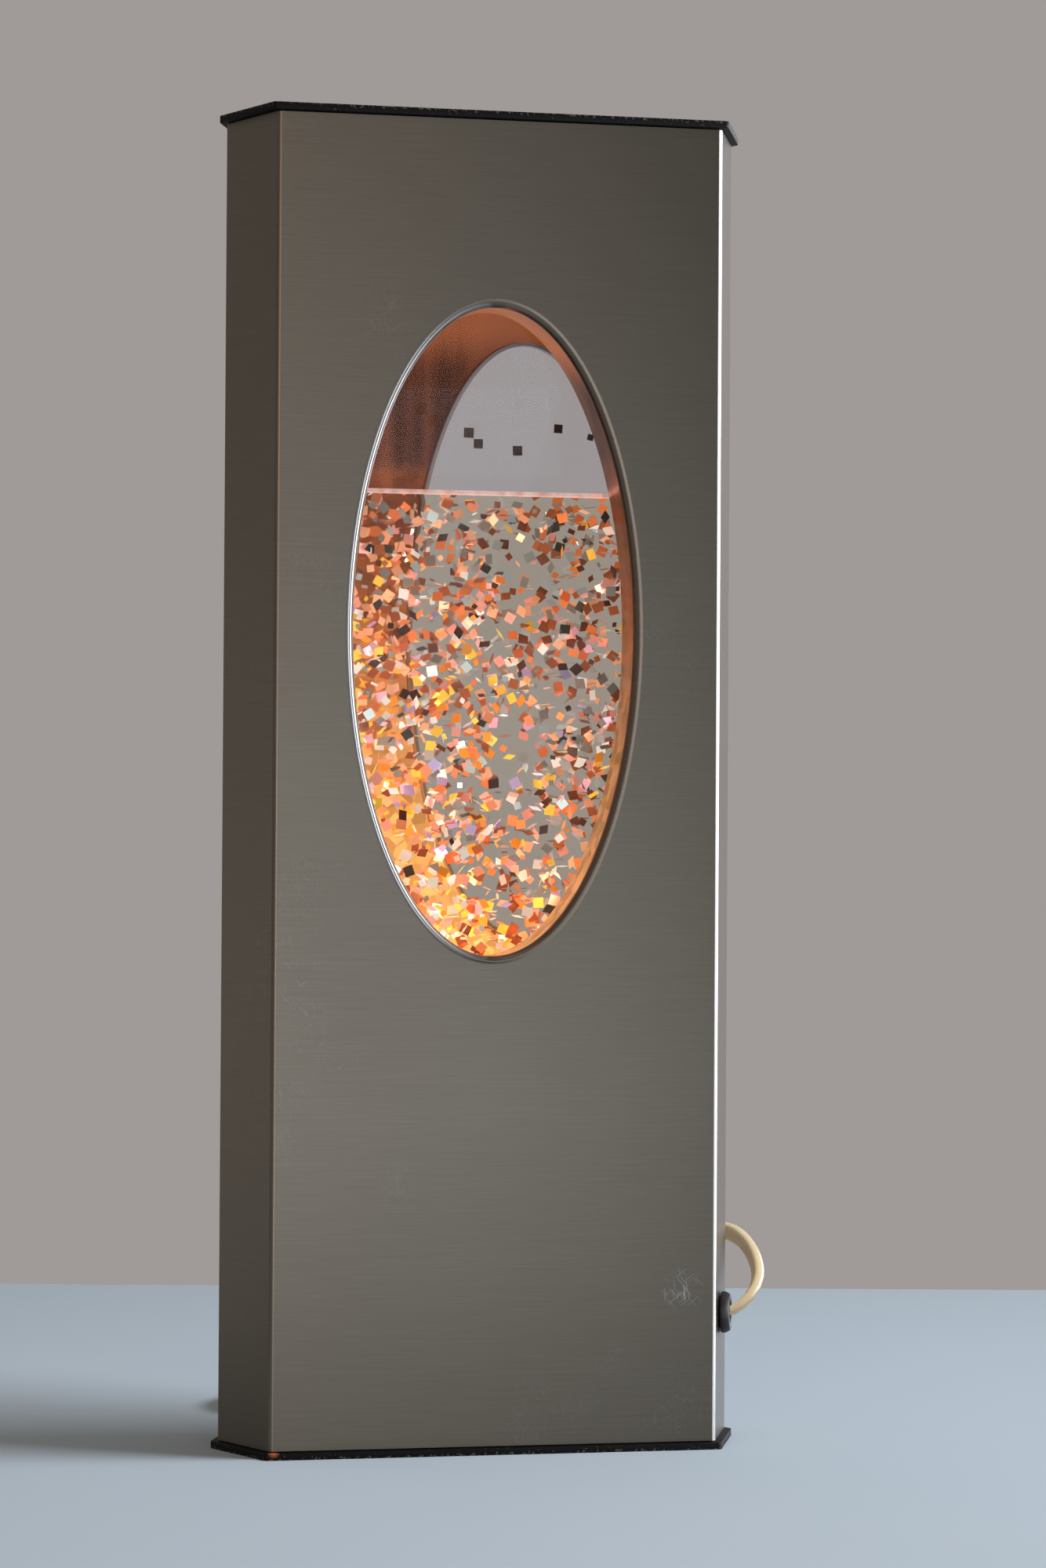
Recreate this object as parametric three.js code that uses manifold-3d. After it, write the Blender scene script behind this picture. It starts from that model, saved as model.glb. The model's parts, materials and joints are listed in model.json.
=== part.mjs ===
// A tall flat glitter lamp: a bent sheet case with an elliptical window, a flat vessel of liquid and
// flakes over a small bulb, and a flat twin cord with an in-line switch, a coil and a plug.
// Millimetres. The origin is at the bottom centre, the front faces -Y and +Z is up.

import * as THREE from 'three';
import { mergeVertices } from 'three/addons/utils/BufferGeometryUtils.js';
import Module from 'manifold-3d';

const wasm = await Module();
wasm.setup();

// Fits
const clearance = 0.3;
const screw_play = 0.35;
const cut_overrun = 2;
const weld_distance = 1e-4;

// Case
const overall_height = 380;
const plate_thickness = 2;
const plate_overhang = 2;
const plate_corner_radius = 1.5;
const sheet = 1.2;
const front_half_width = 64.5;
const side_half_width = 74.75;
const half_depth = 27;
const bend_radius = 1.5;
const lap_reach = 10;
const lap_root = 6;
const lap_bite = 0.5;
const lap_end_gap = 14;
const tab_half_width = 42;
const tab_reach = 12;
const cap_lip_depth = 9;
const cap_lip_wall = 2;
const cap_lip_play = 0.6;
const vent_width = 3.2;
const vent_height = 26;
const vent_pitch = 11;
const vent_count = 7;
const vent_centre_z = 40;

// Windows
const front_window_half_width = 40.7;
const front_window_offset = -1.2;
const window_rise = 12.6;
const window_top_margin = 55.4;
const rear_window_half_width = 33.7;
const rear_window_step = 5;
const rear_window_margin = 12.4;
const sleeve_wall = 1;
const sleeve_depth = 15;
const rim_width = 2.4;
const rim_proud = 1;
const rim_round = 0.4;
const window_steps = 52;
const rim_play = 0.3;

// Lining behind the vessel
const liner_thickness = 0.5;
const liner_lap_gap = 3;
const liner_top_gap = 22;

// Vessel and what it holds
const vessel_side_gap = 4.26;
const vessel_back_gap = 5;
const vessel_head_room = 44.7;
const vessel_wall = 3;
const vessel_floor = 4;
const vessel_corner_radius = 4;
const lid_thickness = 4;
const lid_spigot_depth = 3;
const filler_radius = 6;
const filler_chamfer = 1;
const plug_head_radius = 8;
const plug_head_height = 2.5;
const plug_stem_length = 6;
const air_height = 60;

// Flakes that drift against the vessel's walls, scattered by shares that never repeat
const flake_size = 3;
const flake_thickness = 0.3;
const flake_lean = 6;
const front_flake_count = 110;
const rear_flake_count = 50;
const flake_across_share = 0.7549;
const flake_up_share = 0.5698;
const flake_turn_share = 0.382;

// Shelf, filter and pads
const shelf_inset = 3.2;
const shelf_tab_half_width = 28;
const shelf_tab_height = 14;
const light_hole_gap = 6;
const light_hole_count = 3;
const filter_lap = 3.5;
const filter_depth = 30;
const filter_thickness = 1;
const filter_corner_radius = 1;
const pad_width = 8;
const pad_gap = 4;
const pad_thickness = 3.4;
const pad_inset = 1;

// Lamp holder and bulb
const foot_block_height = 4;
const foot_block_half_length = 62;
const foot_block_half_width = 12;
const bracket_half_length = 38;
const bracket_half_top = 24;
const bracket_rise = 14;
const bracket_width = 18;
const bracket_thickness = 1.2;
const tube_radius = 5;
const tube_bore = 3;
const tube_length = 13;
const nut_radius = 8;
const nut_height = 3;
const holder_wall = 1.1;
const holder_lip_gap = 1.5;
const holder_floor = 12;
const holder_lip_radius = 16;
const holder_lip_height = 5;
const lead_hole_radius = 1.5;
const lead_radius = 1;
const lead_gap = 1.4;
const lead_seat_depth = 6;
const thread_radius = 8.5;
const thread_ridge = 0.5;
const thread_pitch = 3.2;
const thread_turns = 5;
const thread_wall = 0.9;
const contact_radius = 3;
const contact_height = 2.2;
const tip_radius = 3.4;
const tip_height = 2.4;
const bulb_radius = 19;
const bulb_neck_play = 1;
const bulb_head_room = 21.5;
const bulb_glass_wall = 0.8;
const bulb_glass_height = 62;
const stem_radius = 2.6;
const stem_flange_height = 2;
const stem_height = 26;
const filament_rise = 12;
const filament_half_span = 8;
const filament_radius = 0.5;

// Screws
const screw_radius = 1.5;
const screw_head_radius = 2.8;
const screw_head_height = 1.8;
const short_screw_length = 6;
const base_screw_length = 7;
const base_screw_x = 34;
const base_screw_inset = 7.5;
const rear_screw_height_low = 60;
const rear_screw_top_margin = 60;
const rear_screw_reach = 5.6;

// Cord: flat twin flex
const cord_width = 5.4;
const cord_thickness = 2.9;
const cord_round = cord_thickness / 2;
const tube_sides = 8;
const coil_sides = 6;
const twist_start_share = 0.55;

// Grommet and clamp
const cord_exit_z = 37.5;
const grommet_bore_play = 0.6;
const grommet_wall = 1.3;
const grommet_flange = 1.4;
const grommet_inner_lip = 1.2;
const grommet_proud = 3;
const grommet_inner_flange = 1.8;
const clamp_gap = 6;
const clamp_half_width = 11.5;
const clamp_strap = 1.2;
const clamp_length = 7;
const clamp_screw_inset = 3.1;
const clamp_arch_play = 0.4;

// In-line switch
const switch_x = 50;
const switch_y = 85;
const switch_half_length = 29;
const switch_half_width = 11;
const switch_split_z = 8;
const switch_height = 16;
const switch_wall = 2;
const switch_corner_radius = 4;
const rocker_half_length = 10;
const rocker_half_width = 5;
const rocker_play = 0.8;
const rocker_pivot_drop = 3;
const rocker_rise = 2.6;
const rocker_shoulder = 0.8;
const rocker_drop = 3.4;
const rocker_tilt = 10;
const rocker_pin_radius = 1.2;
const rocker_pin_play = 0.06;
const switch_screw_x = 22;
const switch_boss_radius = 3.4;
const pivot_ear_half_width = 3.4;
const spring_thickness = 0.5;
const spring_half_length = 9;
const spring_width = 4;
const spring_leg = 3;

// Coil
const coil_x = -22;
const coil_y = 85;
const coil_mid_radius = 27;
const coil_pitch = 3.9;
const coil_layer_step = 6.3;
const coil_turns = 8.75;
const coil_steps_per_turn = 24;
const tie_thickness = 0.8;
const tie_width = 6;

// Plug
const plug_x = 26;
const plug_tail_y = 92;
const plug_tail_length = 20;
const plug_tail_radius = 4;
const plug_body_length = 22;
const plug_half_width = 10;
const plug_half_height = 6.4;
const plug_corner_radius = 3;
const blade_length = 17;
const blade_thickness = 1.5;
const blade_height = 6.3;
const blade_spacing = 12.7;
const blade_root = 6;

// Values worked out from the sizes above: the case
const case_bottom_z = plate_thickness + clearance;
const case_top_z = overall_height - plate_thickness - clearance;
const facet_run = side_half_width - front_half_width;
const facet_length = Math.hypot(facet_run, half_depth);
const facet_cos = half_depth / facet_length;
const facet_sin = facet_run / facet_length;

// From the base plate up to the bulb
const foot_block_top_z = plate_thickness + foot_block_height;
const bracket_foot_z = foot_block_top_z + clearance;
const bracket_top_z = bracket_foot_z + bracket_rise;
const holder_bottom_z = bracket_top_z + clearance;
const holder_cavity_z = holder_bottom_z + holder_floor;
const contact_z = holder_cavity_z + clearance;
const tip_z = contact_z + contact_height + clearance;
const bulb_base_z = tip_z + tip_height + clearance;
const thread_length = thread_pitch * thread_turns;
const bulb_shoulder_z = bulb_base_z + thread_length;
const holder_top_z = bulb_shoulder_z - holder_lip_gap;
const bulb_neck_z = bulb_base_z + thread_wall + clearance;
const bulb_tip_z = bulb_neck_z + bulb_glass_height;
const bulb_neck_radius = thread_radius - thread_wall - bulb_neck_play;
const holder_bore_radius = thread_radius + clearance + thread_ridge + thread_wall;
const lead_hole_offset = bracket_width / 2 + lead_radius + lead_gap;
const holder_radius = lead_hole_offset + lead_hole_radius + holder_wall;

// From the shelf over the bulb up to the vessel's lid
const shelf_top_z = bulb_tip_z + bulb_head_room + sheet;
const vessel_bottom_z = shelf_top_z + pad_thickness + 2 * clearance;
const vessel_top_z = case_top_z - vessel_head_room;
const liquid_level_z = vessel_top_z - air_height;
const sleeve_back_y = sleeve_depth - half_depth;
const vessel_front_y = sleeve_back_y + clearance;
const vessel_back_y = half_depth - vessel_back_gap;
const vessel_middle_y = (vessel_front_y + vessel_back_y) / 2;
const room_at_back = facetPoint(vessel_back_y, sheet + clearance + liner_thickness);
const room_at_screws = facetPoint(rear_screw_reach, short_screw_length);
const vessel_half_width = Math.min(room_at_back, room_at_screws) - vessel_side_gap;
const vessel_inner_radius = vessel_corner_radius - vessel_wall;
const flake_lean_angle = THREE.MathUtils.degToRad(flake_lean);
const flake_reach = (flake_thickness + flake_size * Math.sin(flake_lean_angle)) / 2;
const filter_half_width = vessel_half_width - pad_inset - pad_width - pad_gap;
const lit_width = 2 * (filter_half_width - filter_lap);
const light_hole_radius = (lit_width - (light_hole_count - 1) * light_hole_gap) / (2 * light_hole_count);
const light_hole_pitch = 2 * light_hole_radius + light_hole_gap;

// Windows
const window_bottom_z = vessel_bottom_z + window_rise;
const front_window_half_height = (overall_height - window_top_margin - window_bottom_z) / 2;
const window_centre_z = window_bottom_z + front_window_half_height;
const rear_window_half_height = front_window_half_height - rear_window_step;
const rear_window_offset = front_half_width - rear_window_margin - rear_window_half_width;

// Grommet, clamp, switch and coil
const grommet_bore_radius = cord_width / 2 + grommet_bore_play;
const grommet_neck_radius = grommet_bore_radius + grommet_wall;
const grommet_radius = grommet_neck_radius + grommet_flange;
const grommet_inner_radius = grommet_neck_radius + grommet_inner_lip;
const clamp_x = bracket_half_length + clamp_gap;
const rocker_pivot_z = switch_height - rocker_pivot_drop;
const layer_one_z = tie_thickness + clearance + cord_width / 2;
const layer_two_z = layer_one_z + coil_layer_step;

// Finishes
function finish(color, roughness, metalness, opacity = 1) {
  return new THREE.MeshStandardMaterial({ color, roughness, metalness, opacity, transparent: opacity < 1 });
}

const finishes = {
  brushed_steel: finish('#6b665f', 0.35, 1),
  bright_steel: finish('#c9c6c0', 0.2, 1),
  copper: finish('#9a5a34', 0.35, 1),
  black_plate: finish('#15140f', 0.8, 0),
  clear: finish('#e8ece8', 0.05, 0, 0.3),
  liquid: finish('#d9c9a8', 0.05, 0, 0.5),
  amber: finish('#e08a2c', 0.1, 0, 0.6),
  rubber: finish('#1a1a1a', 0.7, 0),
  zinc: finish('#b0b2b4', 0.35, 1),
  bakelite: finish('#20160f', 0.4, 0),
  brass: finish('#b8954a', 0.3, 1),
  warm_glass: finish('#ffd9a0', 0.2, 0, 0.6),
  tungsten: finish('#ffb060', 0.4, 1),
  cream: finish('#d8cfb8', 0.35, 0),
  lead_black: finish('#222222', 0.5, 0),
  lead_white: finish('#d8d8d4', 0.5, 0),
};

// Booleans
function stripped(geometry) {
  geometry.deleteAttribute('normal');
  geometry.deleteAttribute('uv');
  return geometry;
}

function toSolid(geometry) {
  const bare = geometry.index ? geometry.toNonIndexed() : geometry.clone();
  const merged = mergeVertices(stripped(bare), weld_distance);
  return new wasm.Manifold(new wasm.Mesh({
    numProp: 3,
    vertProperties: new Float32Array(merged.attributes.position.array),
    triVerts: new Uint32Array(merged.index.array),
  }));
}

function toGeometry(solid) {
  const mesh = solid.getMesh();
  const geometry = new THREE.BufferGeometry();
  geometry.setAttribute('position', new THREE.BufferAttribute(new Float32Array(mesh.vertProperties), 3));
  geometry.setIndex(new THREE.BufferAttribute(new Uint32Array(mesh.triVerts), 1));
  geometry.computeVertexNormals();
  return geometry;
}

function join(first, ...others) {
  return others.reduce((solid, other) => solid.add(toSolid(other)), toSolid(first));
}

function cut(solid, ...tools) {
  return tools.reduce((rest, tool) => rest.subtract(toSolid(tool)), solid);
}

// Flat outlines
function outline(points) {
  return new THREE.Shape(points.map(([x, y]) => new THREE.Vector2(x, y)));
}

function offsetLine(points, distance) {
  const moved = [];
  for (let i = 0; i < points.length; i += 1) {
    const here = new THREE.Vector2(...points[i]);
    const before = i > 0 ? new THREE.Vector2(...points[i - 1]) : null;
    const after = i < points.length - 1 ? new THREE.Vector2(...points[i + 1]) : null;
    const into = before ? here.clone().sub(before).normalize() : after.clone().sub(here).normalize();
    const out = after ? after.clone().sub(here).normalize() : into.clone();
    const normal = new THREE.Vector2(-into.y - out.y, into.x + out.x).normalize();
    const scale = distance / normal.dot(new THREE.Vector2(-into.y, into.x));
    moved.push([here.x + normal.x * scale, here.y + normal.y * scale]);
  }
  return moved;
}

function roundCorners(points, radius, closed, steps = 3) {
  const result = [];
  const count = points.length;
  for (let i = 0; i < count; i += 1) {
    const ends = !closed && (i === 0 || i === count - 1);
    if (ends || radius <= 0) {
      result.push(points[i]);
      continue;
    }
    const here = new THREE.Vector2(...points[i]);
    const before = new THREE.Vector2(...points[(i + count - 1) % count]).sub(here);
    const after = new THREE.Vector2(...points[(i + 1) % count]).sub(here);
    const half = before.angleTo(after) / 2;
    const run = Math.min(radius / Math.tan(half), before.length() / 2, after.length() / 2);
    const curve = new THREE.QuadraticBezierCurve(
      here.clone().addScaledVector(before.normalize(), run),
      here,
      here.clone().addScaledVector(after.normalize(), run),
    );
    curve.getPoints(steps).forEach((point) => result.push([point.x, point.y]));
  }
  return result;
}

// The case's outline seen from above, grown by a distance, anticlockwise
function caseOutline(grow) {
  const corners = [
    [-side_half_width, 0],
    [-front_half_width, -half_depth],
    [front_half_width, -half_depth],
    [side_half_width, 0],
    [front_half_width, half_depth],
    [-front_half_width, half_depth],
  ];
  const ring = [corners[5], ...corners, corners[0]];
  return offsetLine(ring, -grow).slice(1, -1);
}

function bentSheet(points, thickness, radius) {
  const outer = roundCorners(points, radius, false);
  const inner = roundCorners(offsetLine(points, thickness), Math.max(radius - thickness, 0), false);
  return outline([...outer, ...inner.reverse()]);
}

// Solids along an axis
function extruded(shape, depth) {
  return new THREE.ExtrudeGeometry(shape, { depth, bevelEnabled: false, curveSegments: 6 });
}

function upright(shape, bottom, top) {
  return extruded(shape, top - bottom).translate(0, 0, bottom);
}

function alongY(shape, front, back) {
  return extruded(shape, back - front).rotateX(Math.PI / 2).translate(0, back, 0);
}

function block(low, high) {
  const size = high.map((value, axis) => value - low[axis]);
  const geometry = new THREE.BoxGeometry(...size);
  return geometry.translate(...low.map((value, axis) => value + size[axis] / 2));
}

function roundedBlock(low, high, radius) {
  const corners = [[low[0], low[1]], [high[0], low[1]], [high[0], high[1]], [low[0], high[1]]];
  return upright(outline(roundCorners(corners, radius, true)), low[2], high[2]);
}

function post(radius, bottom, top, x = 0, y = 0, sides = 12) {
  const geometry = new THREE.CylinderGeometry(radius, radius, top - bottom, sides);
  return geometry.rotateX(Math.PI / 2).translate(x, y, (top + bottom) / 2);
}

function turned(profile, sides = 20) {
  const points = profile.map(([radius, z]) => new THREE.Vector2(radius, z));
  return new THREE.LatheGeometry(points, sides).rotateX(Math.PI / 2);
}

function ellipse(halfWidth, halfHeight, x, z) {
  const points = [];
  for (let i = 0; i < window_steps; i += 1) {
    const angle = (i / window_steps) * 2 * Math.PI;
    points.push([x + halfWidth * Math.cos(angle), z + halfHeight * Math.sin(angle)]);
  }
  return outline(points);
}

function windowCutter(halfWidth, halfHeight, x, front, back) {
  return alongY(ellipse(halfWidth, halfHeight, x, window_centre_z), front, back);
}

// A ring that follows an ellipse: the profile's points are [distance outwards, y]
function ellipticalRing(halfWidth, halfHeight, x, profile) {
  const positions = [];
  const faces = [];
  const sides = profile.length;
  for (let i = 0; i < window_steps; i += 1) {
    const angle = (i / window_steps) * 2 * Math.PI;
    const normal = new THREE.Vector2(Math.cos(angle) / halfWidth, Math.sin(angle) / halfHeight).normalize();
    for (const [out, y] of profile) {
      const px = x + halfWidth * Math.cos(angle) + normal.x * out;
      const pz = window_centre_z + halfHeight * Math.sin(angle) + normal.y * out;
      positions.push(px, y, pz);
    }
    for (let k = 0; k < sides; k += 1) {
      const a = i * sides + k;
      const b = i * sides + ((k + 1) % sides);
      const c = ((i + 1) % window_steps) * sides + k;
      const d = ((i + 1) % window_steps) * sides + ((k + 1) % sides);
      faces.push(a, c, b, b, c, d);
    }
  }
  return rawGeometry(positions, faces);
}

function rawGeometry(positions, faces) {
  const geometry = new THREE.BufferGeometry();
  geometry.setAttribute('position', new THREE.Float32BufferAttribute(positions, 3));
  geometry.setIndex(faces);
  geometry.computeVertexNormals();
  return geometry;
}

function signedVolume(geometry) {
  const p = geometry.attributes.position;
  const index = geometry.index.array;
  const a = new THREE.Vector3();
  const b = new THREE.Vector3();
  const c = new THREE.Vector3();
  let volume = 0;
  for (let i = 0; i < index.length; i += 3) {
    a.fromBufferAttribute(p, index[i]);
    b.fromBufferAttribute(p, index[i + 1]);
    c.fromBufferAttribute(p, index[i + 2]);
    volume += a.dot(b.cross(c));
  }
  return volume;
}

// Turns a geometry inside out where its volume comes out negative
function outward(geometry) {
  if (signedVolume(geometry) < 0) {
    const index = geometry.index.array;
    const flipped = [];
    for (let i = 0; i < index.length; i += 3) {
      flipped.push(index[i], index[i + 2], index[i + 1]);
    }
    geometry.setIndex(flipped);
    geometry.computeVertexNormals();
  }
  return geometry;
}

// One welded, outward facing skin
function closed(geometry) {
  return outward(mergeVertices(stripped(geometry), weld_distance));
}

// Scene graph
const lamp = new THREE.Group();

function add(name, geometry, material, parent = lamp) {
  const mesh = new THREE.Mesh(geometry, material.clone());
  mesh.name = name;
  parent.add(mesh);
  return mesh;
}

// Case
function screwGeometry(length) {
  const profile = [
    [0, screw_head_height],
    [screw_head_radius - rim_round, screw_head_height],
    [screw_head_radius, screw_head_height - rim_round],
    [screw_head_radius, 0],
    [screw_radius, 0],
    [screw_radius, -length],
    [0, -length],
  ];
  return closed(turned(profile, 10));
}

function shellSkin(sign) {
  // half of the case: a sheet bent along the outline, trimmed half a clearance short of the seam plane
  const over = cut_overrun;
  const reach = side_half_width + (facet_run * over) / half_depth;
  const line = [
    [reach * sign, -over * sign],
    [front_half_width * sign, half_depth * sign],
    [-front_half_width * sign, half_depth * sign],
    [-reach * sign, -over * sign],
  ];
  const skin = upright(bentSheet(line, sheet, bend_radius), case_bottom_z, case_top_z);
  const far = -over * 2 * sign;
  const near = (clearance / 2) * sign;
  const wide = side_half_width + over;
  const trim = block(
    [-wide, Math.min(far, near), case_bottom_z - over],
    [wide, Math.max(far, near), case_top_z + over],
  );
  return toGeometry(cut(toSolid(skin), trim));
}

function facetPoint(y, inset) {
  // a point of the right facet's line moved inwards by the inset, at a distance y from the seam plane
  return side_half_width - (facet_run * y) / half_depth - inset / facet_cos;
}

function rearScrewPlace(side) {
  const x = facetPoint(rear_screw_reach, 0);
  return { x: x * side, y: rear_screw_reach, nx: facet_cos * side, ny: facet_sin };
}

function rearScrewHeights() {
  return [rear_screw_height_low, overall_height - rear_screw_top_margin];
}

function alongFacet(geometry, place, z) {
  // turns a solid modelled along +Z so that it points out of a rear facet
  const matrix = new THREE.Matrix4().makeBasis(
    new THREE.Vector3(0, 0, 1),
    new THREE.Vector3(place.ny, -place.nx, 0).negate(),
    new THREE.Vector3(place.nx, place.ny, 0),
  );
  matrix.setPosition(place.x, place.y, z);
  return closed(geometry.clone().applyMatrix4(matrix));
}

function baseScrewY() {
  return half_depth - base_screw_inset;
}

function lapStrip(side) {
  const line = [
    [facetPoint(lap_root, sheet - lap_bite), -lap_root],
    [facetPoint(0, sheet + clearance), 0],
    [facetPoint(lap_reach, sheet + clearance), lap_reach],
  ].map(([x, y]) => [x * side, y]);
  const shape = bentSheet(side > 0 ? line : line.reverse(), sheet, 0);
  return upright(shape, case_bottom_z + lap_end_gap, case_top_z - lap_end_gap);
}

function frontShell() {
  const tab = block(
    [-tab_half_width, -half_depth + sheet / 2, case_bottom_z],
    [tab_half_width, -half_depth + tab_reach, case_bottom_z + sheet],
  );
  const body = join(shellSkin(-1), lapStrip(1), lapStrip(-1), tab);
  const hole = sleeve_wall + rim_play;
  const tools = [
    windowCutter(
      front_window_half_width + hole,
      front_window_half_height + hole,
      front_window_offset,
      -half_depth - cut_overrun,
      -half_depth + sheet + cut_overrun,
    ),
    ...baseScrewHoles(-1),
    ...rearScrewHoles(),
    grommetHole(),
  ];
  add('front_shell', toGeometry(cut(body, ...tools)), finishes.brushed_steel);
}

function baseScrewHoles(sign) {
  return [-1, 1].map((side) => post(
    screw_radius + screw_play,
    case_bottom_z - cut_overrun,
    case_bottom_z + sheet + cut_overrun,
    base_screw_x * side,
    baseScrewY() * sign,
  ));
}

function rearScrewHoles() {
  const holes = [];
  for (const side of [-1, 1]) {
    for (const z of rearScrewHeights()) {
      const tool = post(screw_radius + screw_play, -short_screw_length, cut_overrun);
      holes.push(alongFacet(tool, rearScrewPlace(side), z));
    }
  }
  return holes;
}

function rearShell() {
  const tab = block(
    [-tab_half_width, half_depth - tab_reach, case_bottom_z],
    [tab_half_width, half_depth - sheet / 2, case_bottom_z + sheet],
  );
  const hole = sleeve_wall + rim_play;
  const opening = windowCutter(
    rear_window_half_width + hole,
    rear_window_half_height + hole,
    rear_window_offset,
    half_depth - sheet - cut_overrun,
    half_depth + cut_overrun,
  );
  const vents = [];
  for (let i = 0; i < vent_count; i += 1) {
    const x = (i - (vent_count - 1) / 2) * vent_pitch;
    const low = [x - vent_width / 2, half_depth - sheet - cut_overrun, vent_centre_z - vent_height / 2];
    const high = [x + vent_width / 2, half_depth + cut_overrun, vent_centre_z + vent_height / 2];
    vents.push(block(low, high));
  }
  const body = cut(join(shellSkin(1), tab), opening, ...vents, ...baseScrewHoles(1), ...rearScrewHoles());
  add('rear_shell', toGeometry(body), finishes.brushed_steel);
}

function windowRings() {
  const front = -half_depth;
  const sleeve = [
    [0, front - rim_proud + rim_round],
    [rim_round, front - rim_proud],
    [rim_width - rim_round, front - rim_proud],
    [rim_width, front - rim_proud + rim_round],
    [rim_width, front - clearance],
    [sleeve_wall, front - clearance],
    [sleeve_wall, sleeve_back_y],
    [0, sleeve_back_y],
  ];
  const sleeveRing = ellipticalRing(
    front_window_half_width,
    front_window_half_height,
    front_window_offset,
    sleeve,
  );
  add('front_window_sleeve', outward(sleeveRing), finishes.bright_steel);
  const back = half_depth;
  const rim = [
    [0, vessel_back_y + clearance],
    [sleeve_wall, vessel_back_y + clearance],
    [sleeve_wall, back + clearance],
    [rim_width, back + clearance],
    [rim_width, back + rim_proud - rim_round],
    [rim_width - rim_round, back + rim_proud],
    [rim_round, back + rim_proud],
    [0, back + rim_proud - rim_round],
  ];
  const rimRing = ellipticalRing(rear_window_half_width, rear_window_half_height, rear_window_offset, rim);
  add('rear_window_rim', outward(rimRing), finishes.bright_steel);
}

function copperLiner() {
  const inset = sheet + clearance;
  const seam = lap_reach + liner_lap_gap;
  const line = [
    [facetPoint(seam, inset), seam],
    [front_half_width, half_depth],
    [-front_half_width, half_depth],
    [-facetPoint(seam, inset), seam],
  ];
  const corners = offsetLine([
    [side_half_width, 0],
    [front_half_width, half_depth],
    [-front_half_width, half_depth],
    [-side_half_width, 0],
  ], inset);
  line[1] = corners[1];
  line[2] = corners[2];
  const skin = upright(bentSheet(line, liner_thickness, 0), vessel_bottom_z, case_top_z - liner_top_gap);
  const hole = sleeve_wall + rim_play;
  const opening = windowCutter(
    rear_window_half_width + hole,
    rear_window_half_height + hole,
    rear_window_offset,
    half_depth - sheet - cut_overrun - liner_thickness,
    half_depth,
  );
  add('copper_liner', toGeometry(cut(toSolid(skin), opening)), finishes.copper);
}

function plateOutline(grow) {
  return outline(roundCorners(caseOutline(grow), plate_corner_radius, true));
}

function topPlate() {
  const top = upright(plateOutline(plate_overhang), overall_height - plate_thickness, overall_height);
  const inset = 2 * sheet + clearance + cap_lip_play;
  const low = case_top_z - cap_lip_depth;
  const lip = upright(outline(caseOutline(-inset)), low, overall_height - plate_thickness / 2);
  const inner = outline(caseOutline(-inset - cap_lip_wall));
  const hollow = upright(inner, low - cut_overrun, overall_height - plate_thickness);
  add('top_plate', toGeometry(cut(join(top, lip), hollow)), finishes.black_plate);
}

function basePlate() {
  const plate = upright(plateOutline(plate_overhang), 0, plate_thickness);
  const foot = block(
    [-foot_block_half_length, -foot_block_half_width, plate_thickness / 2],
    [foot_block_half_length, foot_block_half_width, foot_block_top_z],
  );
  const tools = [];
  const sunk = plate_thickness / 2 + screw_play;
  for (const side of [-1, 1]) {
    for (const sign of [-1, 1]) {
      const x = base_screw_x * side;
      const y = baseScrewY() * sign;
      tools.push(post(screw_radius + screw_play, -cut_overrun, plate_thickness + cut_overrun, x, y));
      tools.push(post(screw_head_radius + screw_play, -cut_overrun, sunk, x, y));
    }
    tools.push(blindHole(bracketScrewX() * side, 0));
    tools.push(blindHole(clamp_x, clampScrewY() * side));
  }
  add('base_plate', toGeometry(cut(join(plate, foot), ...tools)), finishes.black_plate);
}

function blindHole(x, y) {
  return post(screw_radius + screw_play, plate_thickness / 2, foot_block_top_z + cut_overrun, x, y);
}

function bracketScrewX() {
  return (bracket_half_length + bracket_half_top) / 2;
}

function clampScrewY() {
  return clamp_half_width - clamp_screw_inset;
}

function caseScrews() {
  let number = 1;
  const head = plate_thickness / 2 - clearance;
  for (const side of [-1, 1]) {
    for (const sign of [-1, 1]) {
      const shank = post(screw_radius, head / 2, base_screw_length);
      const disc = post(screw_head_radius, clearance, head + clearance);
      const mesh = add(`base_screw_${number}`, toGeometry(join(shank, disc)), finishes.zinc);
      mesh.position.set(base_screw_x * side, baseScrewY() * sign, 0);
      number += 1;
    }
  }
  number = 1;
  for (const side of [-1, 1]) {
    for (const z of rearScrewHeights()) {
      const screw = screwGeometry(short_screw_length - clearance).translate(0, 0, clearance);
      add(`rear_screw_${number}`, alongFacet(screw, rearScrewPlace(side), z), finishes.zinc);
      number += 1;
    }
  }
}

// Vessel
function vesselBlock(inset, bottom, top, radius) {
  return roundedBlock(
    [-vessel_half_width + inset, vessel_front_y + inset, bottom],
    [vessel_half_width - inset, vessel_back_y - inset, top],
    radius,
  );
}

function vessel() {
  const outer = vesselBlock(0, vessel_bottom_z, vessel_top_z, vessel_corner_radius);
  const floor = vessel_bottom_z + vessel_floor;
  const inner = vesselBlock(vessel_wall, floor, vessel_top_z + cut_overrun, vessel_inner_radius);
  add('vessel', toGeometry(cut(toSolid(outer), inner)), finishes.clear);
}

// Square flakes half sunk in one wall of the liquid, each turned and leaning by its number
function wallFlakes(count, wall, halfWidth, low, high) {
  const edge = flake_size * Math.SQRT1_2;
  const flakes = [];
  for (let i = 1; i <= count; i += 1) {
    const across = 2 * ((flake_across_share * i) % 1) - 1;
    const up = (flake_up_share * i) % 1;
    const slab = new THREE.BoxGeometry(flake_size, flake_thickness, flake_size);
    slab.rotateX(flake_lean_angle * Math.sin(i)).rotateY(2 * Math.PI * flake_turn_share * i);
    flakes.push(slab.translate(across * (halfWidth - edge), wall, low + edge + up * (high - low - 2 * edge)));
  }
  return flakes;
}

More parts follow.
